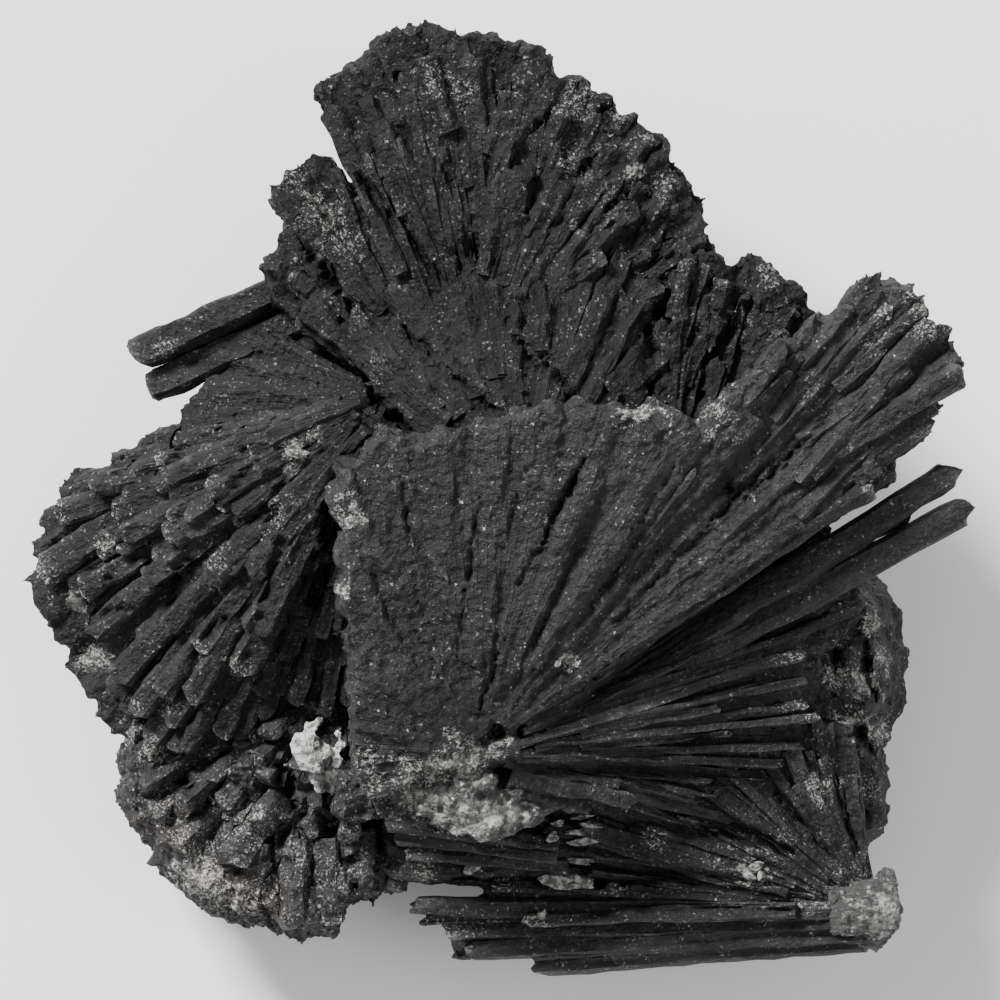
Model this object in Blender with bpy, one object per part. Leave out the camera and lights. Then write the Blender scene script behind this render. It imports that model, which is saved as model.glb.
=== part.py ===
"""Black kyanite: fans of flat black blades grown through one another, with pale mica and quartz.

The cluster lies on its back with the front fan upwards. Its origin is under its middle, on the
surface it lies on. +Y points to the top of the front view and +X to its right. Heights are above
that surface. Sizes are in millimetres and are turned into metres where a mesh is made.
"""

import math
import random

import bmesh
import bpy
from mathutils import Matrix, Vector

MM = 0.001
SEED = 11

# Each fan has rows of (direction in degrees from +X, reach, height of the blade tips).
FRONT_ROOT = Vector((-2.0, -25.0, 37.5))
FRONT_PLATE = [
    (202, 12.4, 36.0), (180, 13.0, 37.5), (159, 13.8, 39.0), (140, 16.5, 40.0), (128, 22.0, 41.0),
    (116, 31.0, 42.0), (107, 33.5, 42.5), (97, 31.7, 43.0),
    (83, 33.7, 43.0), (72, 36.7, 42.5), (65, 37.6, 42.0), (56, 41.6, 41.5),
]
FRONT_BUNDLE = [
    (53, 50.0, 40.0), (49, 63.6, 37.5), (44, 63.2, 37.0), (39, 61.5, 35.5),
    (36, 54.5, 34.0), (33.5, 47.0, 32.5),
]
FRONT_LONG = [(32.4, 55.2, 31.0), (29.0, 54.8, 29.5), (25.2, 54.2, 29.0)]
FRONT_SIDE = [
    (29, 42.0, 28.5), (23.7, 42.8, 28.0), (17, 38.0, 27.0), (8, 36.5, 26.0),
    (-2, 35.0, 24.0), (-10, 31.0, 22.0), (-18, 28.0, 20.0),
]
UPPER_ROOT = Vector((2.5, 0.0, 33.5))
UPPER_FAN = [
    (141, 31.0, 27.0), (136, 37.2, 28.0), (127, 42.0, 28.5), (122, 43.6, 28.5), (119, 43.0, 28.5),
    (117, 46.8, 29.5), (111, 47.4, 30.0), (104, 49.6, 30.5), (100, 49.4, 30.5), (92, 46.6, 30.0),
    (86, 43.4, 30.0), (78, 41.0, 29.5), (66, 37.8, 29.0), (59, 33.6, 28.5), (53, 31.6, 28.5),
    (46, 33.8, 29.0), (40, 35.8, 29.0), (33, 35.0, 29.0), (28, 32.0, 28.0),
    (17, 31.0, 26.0),
]
LEFT_ROOT = Vector((-11.5, 10.0, 33.0))
LEFT_FAN = [
    (193, 26.0, 23.0), (198, 34.0, 21.5), (204, 39.0, 20.0), (210, 40.3, 19.0),
    (217, 40.2, 18.0), (224, 41.0, 17.5), (229, 42.5, 17.5), (236, 44.6, 17.5),
    (243, 41.0, 18.5), (250, 36.0, 20.0), (257, 32.0, 21.0),
]
# Blades that lie free of the fans: (root, tip, widths, depths), each size at root and tip.
PAIR_BLADES = [
    (Vector((-19.5, 22.2, 24.5)), Vector((-36.2, 14.6, 20.5)), (3.4, 3.0), (4.0, 2.6)),
    (Vector((-18.5, 19.5, 23.5)), Vector((-35.6, 11.9, 19.5)), (3.6, 2.4), (4.0, 2.4)),
]
BOTTOM_BLADES = [
    (Vector((37.5, -43.9, 16.5)), Vector((3.4, -46.6, 12.0)), (3.6, 3.2), (6.5, 6.0)),
    (Vector((37.5, -43.0, 14.0)), Vector((-2.6, -44.9, 13.0)), (3.4, 3.0), (6.5, 6.0)),
]
FREE_ROLL = 0.12
FREE_SLANT = 0.5
CORNER_ROOT = Vector((37.0, -41.0, 19.0))
LOW_FAN = [
    (187.5, 40.6, 13.0), (184, 43.0, 14.5), (180, 45.6, 16.5),
    (175.5, 49.0, 19.0), (170, 50.6, 21.5), (165, 46.0, 23.5), (158, 40.0, 25.0), (148, 34.0, 25.5),
    (137, 30.0, 25.5), (124, 26.0, 25.0), (111, 22.0, 24.0), (98, 20.0, 22.5),
]
END_ROOT = Vector((-14.0, -15.0, 9.0))
END_FAN = [
    (186, 21.5, 15.0), (195, 24.0, 16.0), (206, 26.5, 17.0), (212, 28.4, 18.0),
    (222, 28.8, 18.5), (234, 30.0, 19.5), (246, 29.8, 19.5), (254, 29.2, 19.0),
    (262, 28.8, 19.0), (268, 28.4, 18.5), (271, 25.4, 18.5), (280, 24.2, 18.0),
]
RIGHT_ROOT = Vector((24.0, -14.0, 14.0))
RIGHT_FAN = [
    (26, 14.6, 18.0), (12, 15.0, 20.0), (-4, 15.4, 20.5), (-20, 16.2, 20.0),
    (-36, 17.2, 18.0), (-52, 22.6, 17.0), (-64, 27.0, 16.0),
]

# The hidden side: two tiers of blades round the middle, which carry the fans.
MIDDLE = Vector((0.0, -3.0, 0.0))
TIER_REACH = [
    (0, 33.0), (30, 35.0), (60, 31.0), (90, 42.0), (110, 45.0), (135, 33.0), (150, 33.0),
    (165, 34.0), (180, 39.0), (203, 37.5), (225, 38.5), (250, 37.5), (270, 39.5), (300, 43.0),
    (308, 50.0), (318, 51.0), (328, 41.0), (342, 36.0), (360, 33.0),
]
UPPER_TIER = {"share": 0.98, "root_height": 17.0, "tip_height": 11.5, "depth": 9.5}
LOWER_TIER = {"share": 0.78, "root_height": 5.5, "tip_height": 4.5, "depth": 13.0}
TIER_BLADES = 22
TIER_START = 5.0
# Solid lumps that the blades grow out of: (middle of the foot, radii at foot and top, height).
HUB = (Vector((0.0, -3.0, 0.0)), (15.0, 16.0), 33.0)
ROOT_BLOCK = (Vector((-1.5, -22.5, 4.0)), (13.0, 10.5), 30.5)
BLOCK_SIDES = 7

# Pale lumps: (middle, half sizes, turn about the upright axis in degrees).
ROOT_QUARTZ = (Vector((-0.5, -29.6, 31.5)), Vector((13.5, 5.2, 7.5)), -9)
SIDE_QUARTZ = (Vector((-18.0, -26.0, 22.0)), Vector((4.2, 5.6, 5.0)), 10)
CORNER_QUARTZ = (Vector((36.6, -41.8, 20.0)), Vector((4.6, 4.2, 5.0)), 35)
LUMP_ROUGHNESS = 0.16
LUMP_GAP = 0.3

# How blades differ: degrees of roll, and millimetres that one edge of a broken end is ahead.
FAN_ROLL = 7
FAN_SLANT = 0.7
TIER_ROLL = 9
TIER_SLANT = 1.2
# A blade is wider than its share of the fan, so that it grows into both its neighbours.
FAN_OVERLAP = 1.25
TIER_OVERLAP = 1.15
ROOT_FLARE = 1.2

GROUND_DEPTH = 30.0
GROUND_SIZE = 140.0


def reset_scene():
    for old in list(bpy.data.objects):
        bpy.data.objects.remove(old)


def new_collection(name):
    collection = bpy.data.collections.new(name)
    bpy.context.scene.collection.children.link(collection)
    return collection


def material(name, colour, roughness):
    made = bpy.data.materials.new(name)
    made.use_nodes = True
    shader = made.node_tree.nodes["Principled BSDF"]
    shader.inputs["Base Color"].default_value = (*colour, 1.0)
    shader.inputs["Roughness"].default_value = roughness
    shader.inputs["Metallic"].default_value = 0.0
    return made


def between(rows, direction):
    """The reach and height that a fan has in a direction, between the rows on either side."""
    rows = sorted(rows)
    if direction <= rows[0][0]:
        return rows[0][1:]
    for low, high in zip(rows, rows[1:]):
        if direction <= high[0]:
            share = (direction - low[0]) / (high[0] - low[0])
            return tuple(a + share * (b - a) for a, b in zip(low[1:], high[1:]))
    return rows[-1][1:]


def add_blade(blades, root, tip, widths, depths, roll, slant):
    """A flat blade: a box that widens from root to tip, with its broad faces up and down.

    Its end is broken at a slant, so one edge of it reaches further than the other.
    """
    along = tip - root
    length = along.length
    along.normalize()
    across = along.cross(Vector((0, 0, 1))).normalized()
    across.rotate(Matrix.Rotation(roll, 3, along))
    up = along.cross(across)
    bm = bmesh.new()
    bmesh.ops.create_cube(bm, size=1.0)
    for vert in bm.verts:
        at_tip = vert.co.z > 0
        vert.co.z *= length
        if at_tip:
            vert.co.z += slant * math.copysign(1.0, vert.co.x)
        vert.co.x *= widths[at_tip]
        vert.co.y *= depths[at_tip]
    turn = Matrix((across, up, along)).transposed().to_4x4()
    place = Matrix.Translation(root.lerp(tip, 0.5) * MM) @ turn @ Matrix.Scale(MM, 4)
    bmesh.ops.transform(bm, matrix=place, verts=bm.verts)
    add_object(bm, "blade", blades)


def add_fan(blades, rng, root, rows, count, depth, start_share=0.16, shorten=0.04, lift=0.0,
            unevenness=0.8):
    """A layer of blades side by side from one root, as long as the rows say."""
    first = rows[0][0]
    last = rows[-1][0]
    spacing = abs(last - first) / count
    for number in range(count):
        direction = first + (last - first) * (number + 0.5) / count
        reach, height = between(rows, direction)
        reach *= 1.0 - shorten * rng.random()
        angle = math.radians(direction)
        heading = Vector((math.cos(angle), math.sin(angle), 0))
        start = root + heading * reach * start_share
        start.z = root.z + lift - depth / 2 + rng.uniform(-0.3, 0.3)
        end = root + heading * reach
        end.z = height + lift - depth / 2 + rng.uniform(-unevenness, unevenness)
        tip_width = math.radians(spacing) * reach * FAN_OVERLAP * rng.uniform(0.95, 1.15)
        add_blade(
            blades, start, end, (tip_width * start_share * ROOT_FLARE, tip_width),
            (depth, depth * rng.uniform(0.85, 1.1)),
            math.radians(rng.uniform(-FAN_ROLL, FAN_ROLL)), rng.uniform(-FAN_SLANT, FAN_SLANT),
        )


def add_tier(blades, rng, tier, turn):
    """A ring of deep blades from the middle outwards, at one level of the hidden side."""
    for number in range(TIER_BLADES):
        direction = (360 * (number + turn) / TIER_BLADES + rng.uniform(-2, 2)) % 360
        reach = between(TIER_REACH, direction)[0] * tier["share"] * rng.uniform(0.9, 1.0)
        angle = math.radians(direction)
        heading = Vector((math.cos(angle), math.sin(angle), 0))
        start = MIDDLE + heading * TIER_START
        start.z = tier["root_height"]
        end = MIDDLE + heading * reach
        end.z = tier["tip_height"] + rng.uniform(-1.5, 1.5)
        tip_width = 2 * math.pi * reach / TIER_BLADES * TIER_OVERLAP
        add_blade(
            blades, start, end, (tip_width * TIER_START / reach, tip_width),
            (tier["depth"], tier["depth"] * rng.uniform(0.85, 1.05)),
            math.radians(rng.uniform(-TIER_ROLL, TIER_ROLL)),
            rng.uniform(-TIER_SLANT, TIER_SLANT),
        )


def scaled(rows, share, rise):
    """The rows of a layer that lies on another: shorter, and higher at its tips."""
    return [(direction, reach * share, height + rise) for direction, reach, height in rows]


def add_blades(blades):
    """Every blade of the cluster, each a solid of its own that overlaps its neighbours."""
    rng = random.Random(SEED)
    add_tier(blades, rng, LOWER_TIER, turn=0.0)
    add_tier(blades, rng, UPPER_TIER, turn=0.5)
    add_fan(blades, rng, UPPER_ROOT, UPPER_FAN, count=28, depth=10.0, unevenness=1.2)
    add_fan(blades, rng, UPPER_ROOT, scaled(UPPER_FAN, 0.86, 2.4), count=15, depth=5.0,
            shorten=0.3)
    add_fan(blades, rng, LEFT_ROOT, LEFT_FAN, count=16, depth=8.0, unevenness=1.2)
    add_fan(blades, rng, LEFT_ROOT, scaled(LEFT_FAN, 0.8, 4.0), count=12, depth=5.0,
            shorten=0.15)
    add_fan(blades, rng, LEFT_ROOT, scaled(LEFT_FAN, 0.56, 8.0), count=9, depth=5.0,
            shorten=0.15)
    for root, tip, widths, depths in PAIR_BLADES + BOTTOM_BLADES:
        add_blade(blades, root, tip, widths, depths, FREE_ROLL, FREE_SLANT)
    add_fan(blades, rng, END_ROOT, END_FAN, count=15, depth=7.5, unevenness=1.4)
    add_fan(blades, rng, END_ROOT, scaled(END_FAN, 0.76, 3.5), count=9, depth=6.0, shorten=0.2)
    add_fan(blades, rng, END_ROOT, scaled(END_FAN, 0.5, 7.0), count=6, depth=6.0, shorten=0.2)
    add_fan(blades, rng, CORNER_ROOT, LOW_FAN, count=17, depth=7.5, unevenness=1.1)
    add_fan(blades, rng, RIGHT_ROOT, RIGHT_FAN, count=9, depth=9.0, unevenness=1.4)
    add_fan(blades, rng, FRONT_ROOT, FRONT_SIDE, count=13, depth=5.5, start_share=0.07,
            unevenness=1.3)
    add_fan(blades, rng, FRONT_ROOT, FRONT_LONG, count=3, depth=3.0, shorten=0.03,
            unevenness=0.4)
    add_fan(blades, rng, FRONT_ROOT, FRONT_BUNDLE, count=10, depth=10.0, start_share=0.07,
            unevenness=1.2)
    add_fan(blades, rng, FRONT_ROOT, FRONT_PLATE, count=19, depth=8.0, start_share=0.07,
            unevenness=0.4)


def add_block(name, shape, collection):
    foot, radii, height = shape
    bm = bmesh.new()
    bmesh.ops.create_cone(
        bm, cap_ends=True, segments=BLOCK_SIDES, radius1=radii[0] * MM, radius2=radii[1] * MM,
        depth=height * MM, matrix=Matrix.Translation((foot + Vector((0, 0, height / 2))) * MM),
    )
    return add_object(bm, name, collection)


def add_object(bm, name, collection):
    mesh = bpy.data.meshes.new(name)
    bm.to_mesh(mesh)
    bm.free()
    made = bpy.data.objects.new(name, mesh)
    collection.objects.link(made)
    return made


def lump(name, shape, collection, grow=0.0):
    """A pale lump with flat facets, or with grow the pocket round it."""
    middle, half, turn = shape
    rng = random.Random(name)
    bm = bmesh.new()
    bmesh.ops.create_icosphere(bm, subdivisions=2, radius=1.0)
    for vert in bm.verts:
        vert.co *= 1.0 + rng.uniform(-LUMP_ROUGHNESS, LUMP_ROUGHNESS)
        vert.co = Vector(a * b for a, b in zip(vert.co, half))
    bm.normal_update()
    shift = {vert: vert.normal.copy() for vert in bm.verts}
    for vert, normal in shift.items():
        vert.co += normal * grow
    place = Matrix.Translation(middle * MM) @ Matrix.Rotation(math.radians(turn), 4, "Z")
    bmesh.ops.transform(bm, matrix=place @ Matrix.Scale(MM, 4), verts=bm.verts)
    return add_object(bm, name if not grow else name + "_pocket", collection)


def ground_block(collection):
    bm = bmesh.new()
    size = Matrix.Diagonal((GROUND_SIZE * MM, GROUND_SIZE * MM, GROUND_DEPTH * MM, 1.0))
    place = Matrix.Translation((0, 0, -GROUND_DEPTH * MM / 2))
    bmesh.ops.create_cube(bm, size=1.0, matrix=place @ size)
    return add_object(bm, "ground_block", collection)


def combine(target, operation, others):
    """Joins or cuts one body with others, one after another."""
    for other in others:
        modifier = target.modifiers.new(operation.lower() + "_" + other.name, "BOOLEAN")
        modifier.operation = operation
        # The exact solver lost most of the body where two blocks meet, so this one is used.
        modifier.solver = "MANIFOLD"
        modifier.object = other


def bake(target):
    """Puts the result of the modifiers in the mesh itself."""
    evaluated = target.evaluated_get(bpy.context.evaluated_depsgraph_get())
    made = bpy.data.meshes.new_from_object(evaluated)
    target.modifiers.clear()
    target.data = made


def islands(bm):
    """The separate skins of a mesh, as lists of faces."""
    left = set(bm.faces)
    found = []
    while left:
        seen = [left.pop()]
        for face in seen:
            for edge in face.edges:
                for other in edge.link_faces:
                    if other in left:
                        left.remove(other)
                        seen.append(other)
        found.append(seen)
    return sorted(found, key=len)


def keep_outer_skin(target):
    """Fills the pockets closed in between blades, by removing every skin but the outer one."""
    bm = bmesh.new()
    bm.from_mesh(target.data)
    for faces in islands(bm)[:-1]:
        bmesh.ops.delete(bm, geom=faces, context="FACES")
    bmesh.ops.triangulate(bm, faces=bm.faces)
    bm.to_mesh(target.data)
    bm.free()


def centre_on_ground(objects):
    corners = [vert.co for made in objects for vert in made.data.vertices]
    low = Vector(min(co[axis] for co in corners) for axis in range(3))
    high = Vector(max(co[axis] for co in corners) for axis in range(3))
    shift = Matrix.Translation((-(low.x + high.x) / 2, -(low.y + high.y) / 2, 0))
    for made in objects:
        made.data.transform(shift)


reset_scene()
cluster = new_collection("black_kyanite")
cutters = new_collection("cutters")

single_blades = new_collection("single_blades")
add_blades(single_blades)
add_block("root_block", ROOT_BLOCK, single_blades)
kyanite = add_block("kyanite_cluster", HUB, cluster)
ground = ground_block(cutters)
combine(kyanite, "UNION", single_blades.objects)
combine(kyanite, "DIFFERENCE", [ground])
bake(kyanite)
keep_outer_skin(kyanite)
for blade in list(single_blades.objects):
    bpy.data.objects.remove(blade)

lumps = []
pockets = []
for lump_name, lump_shape in (("root_quartz", ROOT_QUARTZ), ("side_quartz", SIDE_QUARTZ),
                              ("corner_quartz", CORNER_QUARTZ)):
    lumps.append(lump(lump_name, lump_shape, cluster))
    pockets.append(lump(lump_name, lump_shape, cutters, grow=LUMP_GAP))
combine(kyanite, "DIFFERENCE", pockets)
bake(kyanite)
keep_outer_skin(kyanite)
for cutter in [ground] + pockets:
    cutter.hide_render = True
    cutter.display_type = "WIRE"

centre_on_ground([kyanite] + lumps)
kyanite.data.materials.clear()
kyanite.data.materials.append(material("black_kyanite", (0.035, 0.033, 0.034), 0.55))
pale = material("pale_mica_and_quartz", (0.42, 0.41, 0.39), 0.5)
for made in lumps:
    made.data.materials.append(pale)
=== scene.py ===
import math
import random

import bmesh
import bpy
import numpy as np
from mathutils import Matrix, Vector, noise
from mathutils.bvhtree import BVHTree


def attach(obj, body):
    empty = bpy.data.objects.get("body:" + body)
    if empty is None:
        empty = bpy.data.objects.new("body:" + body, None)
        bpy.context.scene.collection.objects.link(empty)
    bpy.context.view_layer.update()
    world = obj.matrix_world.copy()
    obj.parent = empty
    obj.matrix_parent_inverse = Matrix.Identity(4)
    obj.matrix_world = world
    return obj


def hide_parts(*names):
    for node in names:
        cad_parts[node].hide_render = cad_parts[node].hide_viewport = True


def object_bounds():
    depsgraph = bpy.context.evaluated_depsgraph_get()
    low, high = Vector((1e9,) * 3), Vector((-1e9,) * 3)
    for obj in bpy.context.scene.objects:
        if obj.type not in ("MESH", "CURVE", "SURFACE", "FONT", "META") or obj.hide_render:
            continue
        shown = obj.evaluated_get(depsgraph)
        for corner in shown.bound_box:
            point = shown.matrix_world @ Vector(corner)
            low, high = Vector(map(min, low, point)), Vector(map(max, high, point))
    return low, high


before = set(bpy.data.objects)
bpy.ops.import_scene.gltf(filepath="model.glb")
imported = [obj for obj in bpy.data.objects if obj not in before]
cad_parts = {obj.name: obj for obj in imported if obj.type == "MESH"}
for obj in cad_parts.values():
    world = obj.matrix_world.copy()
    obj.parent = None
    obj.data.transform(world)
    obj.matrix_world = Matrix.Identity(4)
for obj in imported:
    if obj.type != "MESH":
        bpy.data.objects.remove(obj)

CAD_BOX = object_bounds()
MM = 0.001
scene = bpy.context.scene


# Table, light and camera
# The cluster lies on a pale matt table top under soft studio light, and the camera looks straight
# down on it from well above, so that near and far blades keep almost the same scale.
FLOOR_SIZE = 1.6
FLOOR_COLOUR = (0.90, 0.90, 0.895, 1.0)
WORLD_STRENGTH = 0.55
CAMERA_HEIGHT = 1.25
FRAMED_WIDTH = 0.1
FRAMED_LEVEL = 0.026
SENSOR = 36.0
# The middle of the photographed frame, seen from the model's origin, in millimetres. The tables
# of places below are measured from it.
VIEW_SHIFT = Vector((0.615, -0.308, 0.0))
SOFTBOXES = [
    # name, place, size, power
    ("key_softbox", (-0.44, 0.52, 0.56), 0.22, 22.0),
    ("fill_softbox", (0.62, -0.20, 0.70), 0.50, 3.0),
]

bpy.ops.object.select_all(action="DESELECT")
bpy.ops.mesh.primitive_plane_add(size=FLOOR_SIZE, location=(0.0, 0.0, CAD_BOX[0][2]))
floor = bpy.context.object
floor.name = "table_top"
floor_material = bpy.data.materials.new("pale_table_top")
floor_material.use_nodes = True
floor_shader = floor_material.node_tree.nodes["Principled BSDF"]
floor_shader.inputs["Base Color"].default_value = FLOOR_COLOUR
floor_shader.inputs["Roughness"].default_value = 0.9
floor_shader.inputs["Specular IOR Level"].default_value = 0.2
floor.data.materials.append(floor_material)

world = bpy.data.worlds.new("studio_surround")
scene.world = world
world.use_nodes = True
world.node_tree.nodes["Background"].inputs["Color"].default_value = (1.0, 1.0, 1.0, 1.0)
world.node_tree.nodes["Background"].inputs["Strength"].default_value = WORLD_STRENGTH

for name, place, size, power in SOFTBOXES:
    softbox = bpy.data.lights.new(name, "AREA")
    softbox.shape = "SQUARE"
    softbox.size = size
    softbox.energy = power
    holder = bpy.data.objects.new(name, softbox)
    holder.location = place
    holder.rotation_euler = Vector(place).to_track_quat("Z", "Y").to_euler()
    scene.collection.objects.link(holder)

camera_data = bpy.data.cameras.new("view_from_above")
camera_data.sensor_width = SENSOR
camera_data.lens = SENSOR * (CAMERA_HEIGHT - FRAMED_LEVEL) / FRAMED_WIDTH
camera_data.clip_start = 0.01
camera = bpy.data.objects.new("view_from_above", camera_data)
camera.location = VIEW_SHIFT * MM + Vector((0.0, 0.0, CAMERA_HEIGHT))
scene.collection.objects.link(camera)
scene.camera = camera


# Front fan
# The uppermost spray of kyanite: a nearly flat, gently crowned sheet of blades grown together
# side by side from one root, longest at the upper right, with darker thin blades below it.
FRONT_ROOT = Vector((-2.0, -25.0, 36.6))
# Each row of a fan: direction in degrees, reach and height of the tips in millimetres.
FRONT_SHEET = [
    (203, 12.2, 36.0), (180, 12.8, 37.5), (159, 13.6, 39.0), (140, 16.5, 40.0), (128, 22.0, 41.0),
    (116, 31.0, 42.0), (107, 33.5, 42.4), (97, 31.9, 42.6), (83, 33.9, 42.6), (72, 36.7, 42.2),
    (65, 37.6, 41.8), (56, 41.6, 41.2), (53, 50.6, 40.0), (49, 64.2, 37.5), (44, 64.0, 36.8),
    (39, 62.4, 35.5), (36, 56.0, 34.5), (33.5, 47.0, 33.2),
]
FRONT_FOOT = [(200, 12.0, 34.4), (208, 11.2, 33.4), (221, 9.6, 32.4), (236, 8.6, 32.0), (262, 7.4, 32.0)]
FRONT_LOWER = [
    (33, 44.0, 27.6), (29, 42.5, 27.2), (23.7, 42.4, 26.6), (17, 38.0, 25.8), (8, 36.2, 24.8),
    (-2, 35.0, 23.2), (-10, 31.0, 21.2), (-20, 27.0, 19.2),
]
# The dark band under the edge of the sheet: gaps sunk there, with painted shade in them.
FRONT_SHADE = [(4.0, -23.4, 42.0, 5.6, 7.0, 1.0), (2.0, -26.6, 30.0, -27.6, 3.0, 1.0)]
FRONT_LONG = [
    # root, tip, widths and depths at root and tip
    ((9.0, -20.0, 30.4), (45.4, 3.0, 30.0), (2.8, 3.0), (2.4, 2.8)),
    ((9.0, -21.0, 29.2), (46.8, -0.7, 28.6), (3.2, 3.1), (2.4, 2.8)),
    ((14.0, -14.0, 28.2), (41.0, -1.6, 27.4), (1.4, 1.6), (2.0, 2.0)),
    ((12.0, -15.5, 27.8), (35.6, -7.0, 26.4), (1.4, 2.2), (2.0, 2.0)),
    ((0.6, -27.4, 33.0), (13.4, -30.2, 29.0), (2.4, 1.1), (3.0, 1.6)),
    ((0.6, -26.8, 33.0), (12.0, -28.2, 29.0), (2.4, 1.3), (3.0, 1.6)),
    ((1.2, -28.6, 32.0), (9.0, -30.6, 29.4), (2.6, 1.6), (3.0, 1.8)),
    ((10.0, -18.0, 27.0), (32.5, -10.5, 25.4), (1.4, 1.8), (2.0, 2.0)),
]
# Gaps between blades: start, end, width and depth.
FRONT_GAPS = [
    (8.7, 4.6, 4.0, -4.5, 1.3, 1.4), (4.0, -4.5, 1.6, -9.0, 0.7, 0.9),
    (0.6, -13.6, -2.4, -22.0, 0.6, 0.8), (-2.0, 0.4, -3.4, -9.0, 0.7, 0.6),
    (-3.4, -9.0, -4.4, -18.0, 0.5, 0.5), (2.4, 3.6, 0.2, -6.0, 0.6, 0.5),
    (27.6, 4.6, 20.0, -3.2, 0.9, 1.3), (20.0, -3.2, 11.0, -12.4, 0.6, 0.8),
    (33.5, 9.0, 24.0, 0.0, 0.7, 1.1), (38.0, 10.5, 30.0, 3.6, 0.8, 1.2),
    (40.5, 12.8, 30.0, 6.6, 0.6, 0.9), (14.5, -2.4, 8.4, -11.6, 0.6, 0.6),
    (22.0, 1.6, 23.4, 0.4, 1.4, 1.5), (-10.0, 3.0, -8.4, -8.0, 0.7, 0.6),
    (-8.4, -8.0, -6.2, -18.0, 0.5, 0.5), (5.6, -16.0, 7.4, -17.2, 0.9, 0.9),
    (18.4, 5.0, 13.0, -3.6, 0.5, 0.5), (-13.4, -6.0, -9.2, -15.0, 0.6, 0.5),
]
# Pale mica dust: place, radius and strength.
FRONT_DUST = [
    (13.2, 8.8, 2.0, 0.9), (16.6, 9.2, 1.8, 0.7), (20.6, 8.9, 2.4, 0.5), (23.0, 7.4, 1.8, 0.35),
    (-14.4, -1.4, 1.8, 0.9), (-15.2, -8.9, 1.0, 1.0), (-9.5, -27.4, 2.8, 0.55),
    (-3.0, -26.0, 2.8, 0.8), (7.0, -16.0, 0.8, 1.0), (-13.4, -25.4, 2.0, 0.45),
    (-6.0, -27.6, 2.4, 0.7), (-0.6, -24.6, 1.8, 0.7), (-12.6, -28.0, 2.4, 0.6),
    (-9.0, -30.0, 2.4, 0.8), (-5.6, -30.2, 2.6, 0.9), (-2.4, -29.0, 2.4, 0.9),
    (42.0, 20.0, 2.2, 0.35), (38.0, 16.0, 2.4, 0.3), (31.0, 10.4, 2.6, 0.25),
]


def pick_edges_along(bm, axis):
    """Selects the edges that run along one axis, and nothing else."""
    for part in list(bm.faces) + list(bm.edges) + list(bm.verts):
        part.select = False
    for edge in bm.edges:
        run = edge.verts[1].co - edge.verts[0].co
        if abs(run[axis]) > 0.9 * run.length:
            edge.select = True


# Cuts across the width, the thickness and the length of a blade, and how wavy its edges are.
BLADE_CUTS = (4, 1, 17)
WAVINESS = 0.18


def model_blade(seed):
    """One blade of unit size, from its root at the origin up to its broken end at height 1.

    A block is cut across its length, width and thickness, and its faces are made uneven.
    Width is along X, thickness along Y.
    """
    bpy.ops.object.select_all(action="DESELECT")
    bpy.ops.mesh.primitive_cube_add(size=1.0, location=(0.0, 0.0, 0.5))
    blade = bpy.context.object
    blade.name = f"blade_{seed}"
    bpy.ops.object.transform_apply(location=True, rotation=False, scale=False)
    bpy.ops.object.mode_set(mode="EDIT")
    bpy.ops.mesh.select_mode(type="EDGE")
    for axis, cuts in enumerate(BLADE_CUTS):
        bm = bmesh.from_edit_mesh(blade.data)
        pick_edges_along(bm, axis)
        bmesh.update_edit_mesh(blade.data)
        bpy.ops.mesh.subdivide(number_cuts=cuts)
    bpy.ops.object.mode_set(mode="OBJECT")
    rng = random.Random(seed)
    offset = Vector((rng.uniform(0, 50), rng.uniform(0, 50), rng.uniform(0, 50)))
    for vert in blade.data.vertices:
        x, y, z = vert.co
        swell = noise.noise(Vector((x * 2.5, y * 2.0, z * 2.2)) + offset)
        edge_wave = (noise.noise(Vector((3.0 * math.copysign(1, x), y, z * 4.0)) + offset)
                     + 0.7 * noise.noise(Vector((5.0 * math.copysign(1, x), y, z * 11.0)) - offset))
        cut = 0.80 if abs(x) > 0.49 and abs(y) > 0.49 else 1.0
        vert.co.x = x * cut * (1.0 + WAVINESS * edge_wave)
        vert.co.y = y * cut * (1.0 + 1.5 * WAVINESS * swell)
        if z > 0.99:
            vert.co.z = z + 0.05 * noise.noise(Vector((x * 3.0, y * 3.0, 7.0)) + offset)
    # Dust clings to the broken end.
    pale = blade.data.attributes.new("pale", "FLOAT", "POINT")
    strength = rng.uniform(0.0, 0.5)
    for vert in blade.data.vertices:
        pale.data[vert.index].value = strength * max(0.0, min(1.0, (vert.co.z - 0.80) / 0.2))
    return blade


def points_of(mesh):
    spots = np.empty(len(mesh.vertices) * 3, dtype=np.float32)
    mesh.vertices.foreach_get("co", spots)
    return spots.reshape(-1, 3)


# What the grooves and the wear take off the width and depth of a blade, in millimetres.
WORN_OFF = 0.55


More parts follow.
